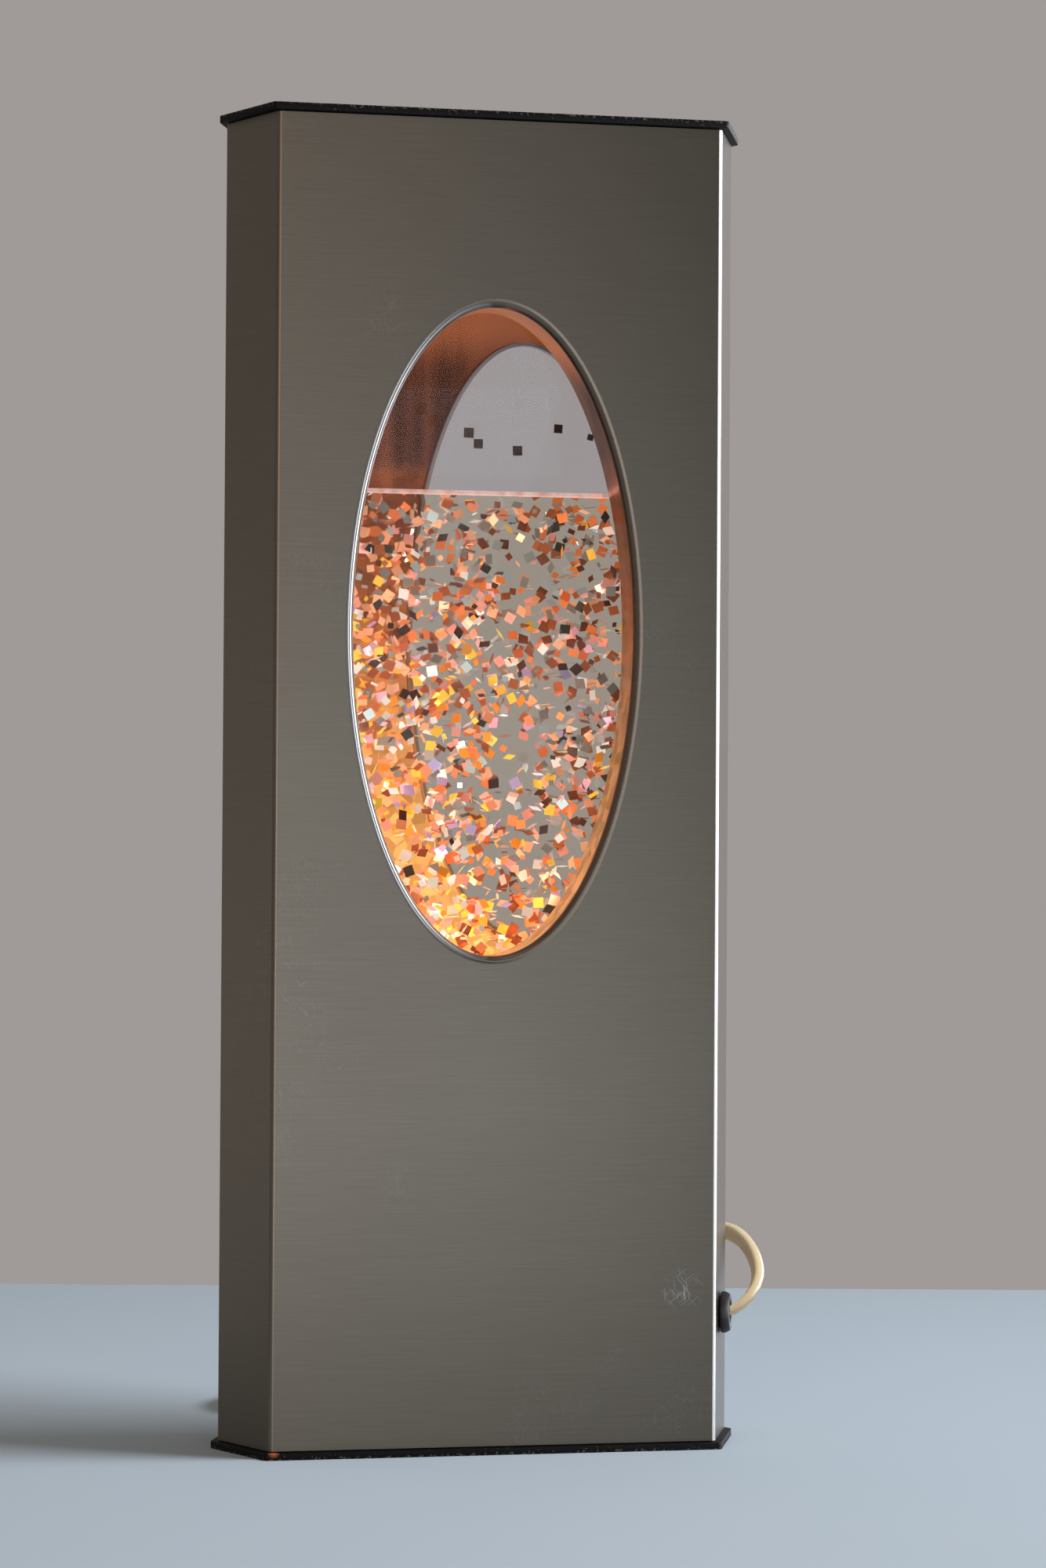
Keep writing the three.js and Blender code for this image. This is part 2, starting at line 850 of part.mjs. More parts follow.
function glitterLiquid() {
  const inset = vessel_wall + clearance + flake_reach;
  const low = vessel_bottom_z + vessel_floor + clearance;
  const high = liquid_level_z;
  const flat = vessel_half_width - inset - vessel_inner_radius;
  const liquid = join(
    vesselBlock(inset, low, high, vessel_inner_radius),
    ...wallFlakes(front_flake_count, vessel_front_y + inset, flat, low, high),
    ...wallFlakes(rear_flake_count, vessel_back_y - inset, flat, low, high),
  );
  add('glitter_liquid', toGeometry(liquid), finishes.liquid);
}

function vesselLid() {
  const bottom = vessel_top_z + clearance;
  const top = bottom + lid_thickness;
  const lid = vesselBlock(0, bottom, top, vessel_corner_radius);
  const inset = vessel_wall + clearance;
  const low = bottom - lid_spigot_depth;
  const spigot = vesselBlock(inset, low, bottom + lid_thickness / 2, vessel_inner_radius);
  const filler = post(filler_radius + clearance, low - cut_overrun, top + cut_overrun, 0, vessel_middle_y);
  add('vessel_lid', toGeometry(cut(join(lid, spigot), filler)), finishes.clear);
}

function fillerPlug() {
  const seat = vessel_top_z + lid_thickness + 2 * clearance;
  const plug = turned([
    [0, seat - plug_stem_length],
    [filler_radius - filler_chamfer, seat - plug_stem_length],
    [filler_radius, seat - plug_stem_length / 2],
    [filler_radius, seat],
    [plug_head_radius, seat],
    [plug_head_radius, seat + plug_head_height],
    [0, seat + plug_head_height],
  ]).translate(0, vessel_middle_y, 0);
  add('filler_plug', closed(plug), finishes.rubber);
}

function shelfTab(sign) {
  // a tab bent down along the case's wall, and the strip that joins it to the shelf
  const outer = (half_depth - sheet - clearance) * sign;
  const inner = outer - sheet * sign;
  const root = (half_depth - shelf_inset - sheet) * sign;
  const half = shelf_tab_half_width;
  return [
    block(
      [-half, Math.min(outer, inner), shelf_top_z - shelf_tab_height],
      [half, Math.max(outer, inner), shelf_top_z],
    ),
    block(
      [-half, Math.min(outer, root), shelf_top_z - sheet],
      [half, Math.max(outer, root), shelf_top_z],
    ),
  ];
}

function shelf() {
  const bottom = shelf_top_z - sheet;
  const plate = upright(outline(caseOutline(-shelf_inset)), bottom, shelf_top_z);
  const holes = [];
  for (let i = 0; i < light_hole_count; i += 1) {
    const x = (i - (light_hole_count - 1) / 2) * light_hole_pitch;
    holes.push(post(light_hole_radius, bottom - cut_overrun, shelf_top_z + cut_overrun, x, 0, 28));
  }
  const body = join(plate, ...shelfTab(-1), ...shelfTab(1));
  add('vessel_shelf', toGeometry(cut(body, ...holes)), finishes.zinc);
}

function amberFilter() {
  const seat = shelf_top_z + clearance;
  const filter = roundedBlock(
    [-filter_half_width, vessel_middle_y - filter_depth / 2, seat],
    [filter_half_width, vessel_middle_y + filter_depth / 2, seat + filter_thickness],
    filter_corner_radius,
  );
  add('amber_filter', filter, finishes.amber);
}

function vesselPads() {
  for (const [name, side] of [['left', -1], ['right', 1]]) {
    const far = (vessel_half_width - pad_inset) * side;
    const near = (vessel_half_width - pad_inset - pad_width) * side;
    const pad = roundedBlock(
      [Math.min(far, near), vessel_front_y + pad_inset, shelf_top_z + clearance],
      [Math.max(far, near), vessel_back_y - pad_inset, vessel_bottom_z - clearance],
      pad_inset,
    );
    add(`vessel_pad_${name}`, pad, finishes.rubber);
  }
}

// Lamp holder
function ridges(radius, bottom) {
  const points = [];
  for (let i = 0; i <= 2 * thread_turns; i += 1) {
    points.push([radius + (i % 2 ? thread_ridge : 0), bottom + (i * thread_pitch) / 2]);
  }
  return points;
}

function holderBracket() {
  const line = [
    [-bracket_half_length, bracket_foot_z],
    [-bracket_half_top, bracket_foot_z],
    [-bracket_half_top + bracket_thickness, bracket_top_z - bracket_thickness],
    [bracket_half_top - bracket_thickness, bracket_top_z - bracket_thickness],
    [bracket_half_top, bracket_foot_z],
    [bracket_half_length, bracket_foot_z],
  ];
  const strap = alongY(bentSheet(line, bracket_thickness, 0), -bracket_width / 2, bracket_width / 2);
  const tools = [post(
    tube_radius + screw_play,
    bracket_top_z - bracket_thickness - cut_overrun,
    bracket_top_z + cut_overrun,
  )];
  for (const side of [-1, 1]) {
    const top = bracket_foot_z + bracket_thickness + cut_overrun;
    tools.push(post(screw_radius + screw_play, bracket_foot_z - cut_overrun, top, bracketScrewX() * side));
  }
  add('holder_bracket', toGeometry(cut(toSolid(strap), ...tools)), finishes.zinc);
  const seat = bracket_foot_z + bracket_thickness + clearance;
  [-1, 1].forEach((side, i) => {
    const screw = screwGeometry(seat - plate_thickness / 2 - clearance);
    add(`bracket_screw_${i + 1}`, screw.translate(bracketScrewX() * side, 0, seat), finishes.zinc);
  });
}

function holderTube() {
  const top = holder_bottom_z + tube_length / 2;
  const bottom = top - tube_length;
  const bore = post(tube_bore, bottom - cut_overrun, top + cut_overrun);
  const tube = cut(toSolid(post(tube_radius, bottom, top)), bore);
  add('holder_tube', toGeometry(tube), finishes.zinc);
  const nutTop = bracket_top_z - bracket_thickness - clearance;
  const nutBottom = nutTop - nut_height;
  const nutBore = post(tube_radius + clearance, nutBottom - cut_overrun, nutTop + cut_overrun);
  const nut = cut(toSolid(post(nut_radius, nutBottom, nutTop, 0, 0, 6)), nutBore);
  add('holder_nut', toGeometry(nut), finishes.zinc);
}

function holderBody() {
  const seat = holder_bottom_z + tube_length / 2 + clearance;
  const bore = tube_radius + clearance;
  const body = turned([
    [bore, holder_bottom_z],
    [holder_radius, holder_bottom_z],
    [holder_radius, holder_top_z - holder_lip_height],
    [holder_lip_radius, holder_top_z - holder_lip_height],
    [holder_lip_radius, holder_top_z],
    [holder_bore_radius + clearance, holder_top_z],
    [holder_bore_radius + clearance, holder_cavity_z],
    [0, holder_cavity_z],
    [0, seat],
    [bore, seat],
    [bore, holder_bottom_z],
  ]);
  const holes = [-1, 1].map((sign) => post(
    lead_hole_radius,
    holder_bottom_z - cut_overrun,
    holder_bottom_z + lead_seat_depth,
    0,
    lead_hole_offset * sign,
  ));
  add('holder_body', toGeometry(cut(toSolid(body), ...holes)), finishes.bakelite);
}

function holderContacts() {
  const inner = thread_radius + clearance;
  const shell = turned([
    ...ridges(inner, bulb_base_z),
    [holder_bore_radius, bulb_shoulder_z],
    [holder_bore_radius, bulb_base_z],
    [inner, bulb_base_z],
  ]);
  add('holder_screw_shell', closed(shell), finishes.brass);
  add('holder_contact', post(contact_radius, contact_z, contact_z + contact_height), finishes.brass);
}

function bulbBase() {
  add('bulb_tip', post(tip_radius, tip_z, tip_z + tip_height), finishes.brass);
  const wall = thread_radius - thread_wall;
  const floor = bulb_base_z + thread_wall;
  const base = turned([
    [0, bulb_base_z],
    ...ridges(thread_radius, bulb_base_z),
    [wall, bulb_shoulder_z],
    [wall, floor],
    [0, floor],
  ]);
  add('bulb_screw_base', closed(base), finishes.brass);
}

// The envelope's outline from the neck to the tip, moved inwards by the inset
function envelope(inset) {
  const belly = bulb_shoulder_z + bulb_radius;
  const tip = bulb_tip_z - inset;
  const steps = 4;
  const points = [];
  for (let i = 0; i < steps; i += 1) {
    const angle = (1 - i / steps) * (Math.PI / 2);
    const swell = (bulb_radius - bulb_neck_radius) * Math.cos(angle);
    points.push([bulb_neck_radius + swell - inset, belly - bulb_radius * Math.sin(angle)]);
  }
  for (let i = 0; i < steps; i += 1) {
    const angle = (i / steps) * (Math.PI / 2);
    points.push([(bulb_radius - inset) * Math.cos(angle), belly + (tip - belly) * Math.sin(angle)]);
  }
  points.push([0, tip]);
  return points;
}

function bulbGlass() {
  const glass = turned([
    ...envelope(bulb_glass_wall).reverse(),
    [bulb_neck_radius - bulb_glass_wall, bulb_neck_z],
    [bulb_neck_radius, bulb_neck_z],
    ...envelope(0),
  ]);
  add('bulb_glass', closed(glass), finishes.warm_glass);
}

function bulbFilament() {
  const flange = bulb_neck_radius - bulb_glass_wall - clearance;
  const top = bulb_neck_z + stem_height;
  const stem = turned([
    [0, bulb_neck_z],
    [flange, bulb_neck_z],
    [flange, bulb_neck_z + stem_flange_height],
    [stem_radius, bulb_neck_z + 2 * stem_flange_height],
    [stem_radius, top],
    [0, top],
  ], 14);
  const arc = new THREE.CatmullRomCurve3([
    new THREE.Vector3(-stem_radius / 2, 0, top - stem_radius),
    new THREE.Vector3(-filament_half_span, 0, top + filament_rise / 2),
    new THREE.Vector3(-filament_half_span / 2, 0, top + filament_rise),
    new THREE.Vector3(filament_half_span / 2, 0, top + filament_rise),
    new THREE.Vector3(filament_half_span, 0, top + filament_rise / 2),
    new THREE.Vector3(stem_radius / 2, 0, top - stem_radius),
  ]);
  const wire = new THREE.Shape().absarc(0, 0, filament_radius, 0, 2 * Math.PI);
  const loop = new THREE.ExtrudeGeometry(wire, { extrudePath: arc, steps: 20, curveSegments: 3 });
  add('bulb_filament', toGeometry(join(stem, loop)), finishes.tungsten);
}

// Cord section: two half rounds joined by flats, wide along the first axis
function cordSection(sides) {
  const points = [];
  const half = cord_width / 2 - cord_round;
  const shift = sides % 4 ? 0 : 0.5;
  const lift = cord_round / Math.sin(Math.PI * (sides % 4 ? 1 / 3 : 3 / 8));
  for (let i = 0; i < sides; i += 1) {
    const angle = ((i + shift) / sides) * 2 * Math.PI;
    const cosine = Math.cos(angle);
    points.push([half * Math.sign(cosine) + cord_round * cosine, lift * Math.sin(angle)]);
  }
  return points;
}

// A route whose section keeps its wide side where it is asked to be at both ends
class CordRoute extends THREE.CatmullRomCurve3 {
  constructor(points, wideAtStart, wideAtEnd, twistFromShare = 0) {
    super(points.map((point) => new THREE.Vector3(...point)));
    this.twistFromShare = twistFromShare;
    this.wideAtStart = new THREE.Vector3(...wideAtStart);
    this.wideAtEnd = new THREE.Vector3(...wideAtEnd);
  }

  computeFrenetFrames(segments) {
    const frames = super.computeFrenetFrames(segments, false);
    const turnTo = (index, wanted) => {
      const x = frames.normals[index].dot(wanted);
      const y = frames.binormals[index].dot(wanted);
      return Math.atan2(y, x);
    };
    const start = turnTo(0, this.wideAtStart);
    let change = turnTo(segments, this.wideAtEnd) - start;
    change -= Math.round(change / Math.PI) * Math.PI;
    for (let i = 0; i <= segments; i += 1) {
      const share = Math.max(0, i / segments - this.twistFromShare) / (1 - this.twistFromShare);
      const roll = start + change * share;
      const tangent = frames.tangents[i];
      frames.normals[i].applyAxisAngle(tangent, roll);
      frames.binormals[i].crossVectors(tangent, frames.normals[i]);
    }
    return frames;
  }
}

function cordTube(route, steps) {
  const shape = outline(cordSection(tube_sides));
  return new THREE.ExtrudeGeometry(shape, { extrudePath: route, steps });
}

// Grommet, clamp and inner wiring
function grommetPlace() {
  // the middle of the right front facet at the height of the exit
  const x = (front_half_width + side_half_width) / 2;
  return new THREE.Vector3(x, -half_depth / 2, cord_exit_z);
}

function grommetBasis() {
  const along = new THREE.Vector3(facet_sin, facet_cos, 0);
  const out = new THREE.Vector3(facet_cos, -facet_sin, 0);
  const matrix = new THREE.Matrix4().makeBasis(along, new THREE.Vector3(0, 0, 1), out);
  return matrix.setPosition(grommetPlace());
}

function grommetHole() {
  const tool = post(grommet_neck_radius + clearance, -sheet - cut_overrun, cut_overrun);
  return tool.applyMatrix4(grommetBasis());
}

function grommet() {
  const inside = -sheet - clearance;
  const body = turned([
    [0, inside - grommet_inner_flange],
    [grommet_inner_radius, inside - grommet_inner_flange],
    [grommet_inner_radius, inside],
    [grommet_neck_radius, inside],
    [grommet_neck_radius, clearance],
    [grommet_radius, clearance],
    [grommet_radius, grommet_proud / 2],
    [grommet_radius - rim_round * 2, grommet_proud],
    [0, grommet_proud],
  ]);
  const tool = post(
    grommet_bore_radius,
    inside - grommet_inner_flange - cut_overrun,
    grommet_proud + cut_overrun,
  );
  const solid = cut(toSolid(body), tool);
  const geometry = toGeometry(solid).applyMatrix4(grommetBasis());
  add('cord_grommet', geometry, finishes.rubber);
}

function grommetAxisPoint(distance) {
  const out = new THREE.Vector3(facet_cos, -facet_sin, 0);
  return grommetPlace().addScaledVector(out, distance);
}

function innerCord() {
  const inside = sheet + clearance + grommet_inner_flange;
  const bed = foot_block_top_z + clearance + cord_thickness / 2;
  const end = clamp_x - clamp_length / 2 - clearance;
  const landing = clamp_x + clamp_length / 2 + clearance;
  const inner = grommetAxisPoint(-inside - cord_width / 2);
  const bend = grommetAxisPoint(-inside - cord_width);
  const route = new CordRoute([
    grommetAxisPoint(grommet_proud - cord_round / 2).toArray(),
    grommetAxisPoint(0).toArray(),
    inner.toArray(),
    [bend.x - cord_width / 4, bend.y + cord_width / 4, bend.z - cord_width / 2],
    [landing + cord_width, 0, (bend.z + bed) / 2],
    [landing + cord_width * 0.75, 0, bed + cord_width * 0.6],
    [landing + cord_width / 4, 0, bed + clearance / 2],
    [clamp_x, 0, bed],
    [end, 0, bed],
  ], [facet_sin, facet_cos, 0], [0, 1, 0]);
  add('cord_inner', cordTube(route, 30), finishes.cream);
  leads(end - clearance, bed);
}

function leads(start, bed) {
  const top = holder_bottom_z + lead_seat_depth - clearance;
  const wire = new THREE.Shape().absarc(0, 0, lead_radius, 0, 2 * Math.PI);
  const seats = [['lead_line', -1, finishes.lead_black], ['lead_neutral', 1, finishes.lead_white]];
  for (const [name, sign, material] of seats) {
    const y = lead_hole_offset * sign;
    const side = (bracket_width / 2 + lead_radius * 2) * sign;
    const route = new THREE.CatmullRomCurve3([
      new THREE.Vector3(start, (cord_width / 4) * sign, bed),
      new THREE.Vector3(start - lead_radius, (cord_width / 4) * sign, bed),
      new THREE.Vector3(start - clamp_length / 2, (cord_width / 2) * sign, bed + lead_radius * 2),
      new THREE.Vector3(bracket_half_length - clamp_length / 2, side, bed + lead_radius * 2),
      new THREE.Vector3(bracket_half_top / 2, y, bed + lead_radius * 3),
      new THREE.Vector3(lead_radius * 2, y, (bed + holder_bottom_z) / 2),
      new THREE.Vector3(0, y, holder_bottom_z - lead_radius),
      new THREE.Vector3(0, y, top),
    ]);
    const geometry = new THREE.ExtrudeGeometry(wire, { extrudePath: route, steps: 18, curveSegments: 3 });
    add(name, geometry, material);
  }
}

function cordClamp() {
  const seat = foot_block_top_z + clearance;
  const crown = seat + cord_thickness + clamp_arch_play;
  const halfArch = cord_width / 2 + clamp_arch_play;
  const line = [
    [-clamp_half_width, seat],
    [-halfArch - clamp_strap, seat],
    [-halfArch, crown],
    [halfArch, crown],
    [halfArch + clamp_strap, seat],
    [clamp_half_width, seat],
  ];
  const strap = upright(bentSheet(line, clamp_strap, 0), -clamp_length / 2, clamp_length / 2);
  const turn = new THREE.Matrix4().makeBasis(
    new THREE.Vector3(0, 1, 0),
    new THREE.Vector3(0, 0, 1),
    new THREE.Vector3(1, 0, 0),
  ).setPosition(clamp_x, 0, 0);
  strap.applyMatrix4(turn);
  const holes = [-1, 1].map((sign) => post(
    screw_radius + screw_play,
    seat - cut_overrun,
    seat + clamp_strap + cut_overrun,
    clamp_x,
    clampScrewY() * sign,
  ));
  add('cord_clamp', toGeometry(cut(toSolid(strap), ...holes)), finishes.zinc);
  const head = seat + clamp_strap + clearance;
  [-1, 1].forEach((sign, i) => {
    const screw = screwGeometry(head - plate_thickness / 2 - clearance);
    add(`clamp_screw_${i + 1}`, screw.translate(clamp_x, clampScrewY() * sign, head), finishes.zinc);
  });
}

// In-line switch, modelled along X and turned to lie along Y
const line_switch = new THREE.Group();
line_switch.position.set(switch_x, switch_y, 0);
line_switch.rotation.z = Math.PI / 2;
lamp.add(line_switch);

function switchShell(bottom, top) {
  return roundedBlock(
    [-switch_half_length, -switch_half_width, bottom],
    [switch_half_length, switch_half_width, top],
    switch_corner_radius,
  );
}

function switchCavity() {
  const wall = switch_wall;
  return roundedBlock(
    [-switch_half_length + wall, -switch_half_width + wall, wall],
    [switch_half_length - wall, switch_half_width - wall, switch_height - wall],
    switch_corner_radius - wall,
  );
}

function switchBosses(solid, bottom, top) {
  const boss = (side) => toSolid(post(switch_boss_radius, bottom, top, switch_screw_x * side));
  return solid.add(boss(-1)).add(boss(1));
}

function switchScrewHoles(radius, top) {
  return [-1, 1].map((side) => post(radius + screw_play, -cut_overrun, top, switch_screw_x * side));
}

function switchBase() {
  const top = switch_split_z - clearance / 2;
  const cup = cut(toSolid(switchShell(0, top)), switchCavity());
  const body = cut(
    switchBosses(cup, switch_wall / 2, top),
    cordCorridor(),
    ...switchScrewHoles(screw_head_radius, screw_head_height + clearance),
    ...switchScrewHoles(screw_radius, switch_height),
  );
  add('switch_base', toGeometry(body), finishes.cream, line_switch);
}

function pivotEar(sign) {
  // a lug beside the rocker's slot that holds one end of its pin
  const near = (rocker_half_width + rocker_play) * sign;
  const far = (switch_half_width - switch_wall / 2) * sign;
  return block(
    [-pivot_ear_half_width, Math.min(near, far), rocker_pivot_z - rocker_pin_radius - switch_wall],
    [pivot_ear_half_width, Math.max(near, far), switch_height - switch_wall / 2],
  );
}

function switchCover() {
  const bottom = switch_split_z + clearance / 2;
  const cup = cut(toSolid(switchShell(bottom, switch_height)), switchCavity());
  const ears = [-1, 1].map((sign) => toSolid(pivotEar(sign)));
  const filled = switchBosses(cup, bottom, switch_height - switch_wall / 2).add(ears[0]).add(ears[1]);
  const slotLength = rocker_half_length + rocker_play;
  const slotWidth = rocker_half_width + rocker_play;
  const slot = block(
    [-slotLength, -slotWidth, switch_height - switch_wall - cut_overrun],
    [slotLength, slotWidth, switch_height + cut_overrun],
  );
  const pinHole = alongY(
    circleOutline(rocker_pin_radius + clearance, 0, rocker_pivot_z),
    -switch_half_width + switch_wall,
    switch_half_width - switch_wall,
  );
  const screwHoles = switchScrewHoles(screw_radius, switch_height - switch_wall - screw_play);
  const body = cut(filled, slot, cordCorridor(), pinHole, ...screwHoles);
  add('switch_cover', toGeometry(body), finishes.cream, line_switch);
}

function circleOutline(radius, x, z, sides = 16) {
  const points = [];
  for (let i = 0; i < sides; i += 1) {
    const angle = (i / sides) * 2 * Math.PI;
    points.push([x + radius * Math.cos(angle), z + radius * Math.sin(angle)]);
  }
  return outline(points);
}

function cordCorridor() {
  // the passage for the cord through both end walls, on the housing's split line
  const half = cord_width / 2 + clearance;
  const rise = cord_thickness / 2 + clearance;
  return block(
    [-switch_half_length - cut_overrun, -half, switch_split_z - rise],
    [switch_half_length + cut_overrun, half, switch_split_z + rise],
  );
}

function switchScrews() {
  [-1, 1].forEach((side, i) => {
    const length = switch_height - switch_wall - screw_head_height - 2 * clearance - screw_play;
    const screw = screwGeometry(length).rotateX(Math.PI).translate(
      switch_screw_x * side,
      0,
      screw_head_height + clearance / 2,
    );
    add(`switch_screw_${i + 1}`, screw, finishes.zinc, line_switch);
  });
}

function rocker() {
  // a shallow vee that rests with its one end pressed down
  const tilt = THREE.MathUtils.degToRad(rocker_tilt);
  const top = rocker_pivot_z + rocker_rise;
  const edge = top + (rocker_half_length * Math.tan(tilt)) / 2;
  const shape = outline([
    [-rocker_half_length, rocker_pivot_z + rocker_shoulder],
    [-rocker_half_length / 2, rocker_pivot_z - rocker_drop],
    [rocker_half_length / 2, rocker_pivot_z - rocker_drop],
    [rocker_half_length, rocker_pivot_z + rocker_shoulder],
    [rocker_half_length, edge],
    [0, top],
    [-rocker_half_length, edge],
  ]);
  const body = alongY(shape, -rocker_half_width, rocker_half_width);
  const bore = alongY(
    circleOutline(rocker_pin_radius + rocker_pin_play, 0, rocker_pivot_z),
    -rocker_half_width - cut_overrun,
    rocker_half_width + cut_overrun,
  );
  const geometry = toGeometry(cut(toSolid(body), bore));
  geometry.translate(0, 0, -rocker_pivot_z).rotateY(tilt).translate(0, 0, rocker_pivot_z);
  add('switch_rocker', geometry, finishes.cream, line_switch);
}

function rockerPin() {
  const reach = switch_half_width - switch_wall - clearance;
  const pin = alongY(circleOutline(rocker_pin_radius, 0, rocker_pivot_z), -reach, reach);
  add('rocker_pin', closed(pin), finishes.zinc, line_switch);
}

function contactSpring() {
  // a bent strip that reaches up to the low corner of the tilted rocker
  const seat = switch_wall + clearance;
  const low_corner = (rocker_half_length / 2) * Math.sin(THREE.MathUtils.degToRad(rocker_tilt));
  const crown = rocker_pivot_z - rocker_drop - low_corner - clearance - spring_thickness;
  const line = [
    [-spring_half_length, seat],
    [-spring_half_length + spring_leg, seat],
    [-spring_leg, crown],
    [spring_leg, crown],
    [spring_half_length - spring_leg, seat],
    [spring_half_length, seat],
  ];
  const strip = alongY(bentSheet(line, spring_thickness, 0), -spring_width / 2, spring_width / 2);
  add('contact_spring', closed(strip), finishes.brass, line_switch);
}

// Free cord stretches: hand-chosen routes in millimetres
const cord_to_switch_route = [
  [72.8, -14.7, 38.0],
  [75.5, -15.3, 39.8],
  [77.9, -15.0, 42.0],
  [79.9, -13.7, 44.4],
  [81.3, -11.5, 46.8],
  [82.3, -7.4, 49.8],
  [82.8, -1.2, 52.8],
  [82.6, 5.6, 55.4],
  [81.7, 12.4, 57.2],
  [79.9, 19.2, 58.0],
  [76.8, 25.4, 57.6],
  [72.6, 30.6, 55.5],
  [68.0, 34.4, 51.8],
  [63.6, 37.0, 46.4],
  [59.9, 38.8, 39.8],
  [56.9, 40.1, 32.6],
  [54.4, 41.4, 25.4],
  [52.5, 43.2, 18.8],
  [51.2, 46.4, 13.2],
  [50.4, 50.8, 9.6],
  [50.0, 55.7, 8.0],
];
const cord_to_coil_route = [
  [50.0, 114.3, 8.0],
  [50.0, 118.6, 7.0],
  [49.4, 123.8, 4.6],
  [47.0, 130.4, 2.8],
  [41.2, 136.4, 2.0],
  [32.6, 138.8, 1.9],
  [23.6, 136.8, 1.9],
  [17.2, 131.2, 1.9],
  [14.2, 123.4, 2.3],
  [13.5, 114.4, 3.0],
  [13.5, 105.2, 3.6],
  [13.5, 97.6, 3.8],
  [13.5, 90.7, 3.8],
];
const cord_to_plug_route = [
  [-16.3, 120.5, 10.1],
  [-10.0, 120.5, 10.1],
  [-2.4, 120.4, 10.1],
  [5.4, 120.0, 9.9],
  [12.6, 118.4, 9.2],
  [18.8, 114.2, 7.9],
  [23.2, 108.1, 7.0],
  [25.5, 101.0, 6.6],
  [26.0, 96.2, 6.6],
  [26.0, 92.3, 6.7],
];

function freeCords() {
  const across = [facet_sin, facet_cos, 0];
  const first = new CordRoute(cord_to_switch_route, across, [1, 0, 0]);
  add('cord_to_switch', cordTube(first, 44), finishes.cream);
  const second = new CordRoute(cord_to_coil_route, [1, 0, 0], [0, 0, 1], twist_start_share);
  add('cord_to_coil', cordTube(second, 30), finishes.cream);
  const third = new CordRoute(cord_to_plug_route, [0, 0, 1], [1, 0, 0]);
  add('cord_to_plug', cordTube(third, 20), finishes.cream);
}

// Coil: the cord on edge, spiralling in on the lower layer and out again on the upper one
function coilPoint(turn) {
  const middle = coil_turns / 2;
  const away = Math.abs(turn - middle);
  const inner = coil_mid_radius - (coil_pitch * coil_turns) / 4;
  const radius = inner + coil_pitch * away;
  const climb = THREE.MathUtils.smootherstep(turn, middle - 1 / 4, middle + 1 / 4);
  const angle = -turn * 2 * Math.PI;
  const z = layer_one_z + coil_layer_step * climb;
  return new THREE.Vector3(coil_x + radius * Math.cos(angle), coil_y + radius * Math.sin(angle), z);
}

function coilRoute() {
  const steps = Math.round(coil_turns * coil_steps_per_turn);
  const points = [];
  for (let i = 0; i <= steps; i += 1) {
    points.push(coilPoint((i / steps) * coil_turns));
  }
  const lead = new THREE.Vector3(0, cord_width, 0);
  const tail = new THREE.Vector3(cord_width, 0, 0);
  return [points[0].clone().add(lead), ...points, points[steps].clone().add(tail)];
}

function coil() {
  const route = coilRoute();
  const section = cordSection(coil_sides);
  const positions = [];
  const faces = [];
  const up = new THREE.Vector3(0, 0, 1);
  const rings = [];
  route.forEach((point, i) => {
    const before = route[Math.max(i - 1, 0)];
    const after = route[Math.min(i + 1, route.length - 1)];
    const tangent = after.clone().sub(before).setZ(0).normalize();
    const side = new THREE.Vector3().crossVectors(up, tangent);
    const place = ([wide, thin]) => point.clone().addScaledVector(up, wide).addScaledVector(side, thin);
    const ring = section.map(place);
    rings.push(ring);
    ring.forEach((vertex) => positions.push(vertex.x, vertex.y, vertex.z));
  });
  const sides = coil_sides;
  for (let i = 0; i < rings.length - 1; i += 1) {
    for (let k = 0; k < sides; k += 1) {
      const a = i * sides + k;
      const b = i * sides + ((k + 1) % sides);
      faces.push(a, b, a + sides, b, b + sides, a + sides);
    }
  }
  const last = (rings.length - 1) * sides;
  for (let k = 1; k < sides - 1; k += 1) {
    faces.push(0, k + 1, k, last, last + k, last + k + 1);
  }
  add('cord_coil', outward(rawGeometry(positions, faces)), finishes.cream);
  console.log(`coil: least gap between turns ${leastGap(rings).toFixed(2)} mm`);
  return route;
}

// Least distance between the surfaces of different turns, measured on the sections' points
function leastGap(rings) {
  let least = Infinity;
  const apart = Math.round(coil_steps_per_turn / 2);
  const onEdge = new THREE.Vector3();
  for (let i = 0; i < rings.length; i += 1) {
    for (let j = i + apart; j < rings.length; j += 1) {
      for (let k = 0; k < coil_sides; k += 1) {
        const next = rings[j][(k + 1) % coil_sides];
        const side = new THREE.Line3(rings[j][k], next);
        for (const vertex of rings[i]) {
          side.closestPointToPoint(vertex, true, onEdge);
          least = Math.min(least, onEdge.distanceTo(vertex));
        }
      }
    }
  }
  return least;
}

function coilTie() {
  // a flat band round all the turns on the side nearest the lamp
  const play = cord_round + clearance;
  const spread = (coil_pitch * coil_turns) / 4;
  const inner = coil_mid_radius - spread - play - clearance;
  const outer = coil_mid_radius + spread + play + clearance;
  const low = layer_one_z - cord_width / 2 - clearance;
  const high = layer_two_z + cord_width / 2 + clearance;
  const frame = toSolid(block(
    [coil_x - tie_width / 2, coil_y - outer - tie_thickness, low - tie_thickness],
    [coil_x + tie_width / 2, coil_y - inner + tie_thickness, high + tie_thickness],
  ));
  const bundle = block(
    [coil_x - tie_width, coil_y - outer, low],
    [coil_x + tie_width, coil_y - inner, high],
  );
  add('coil_tie', toGeometry(cut(frame, bundle)), finishes.rubber);
}

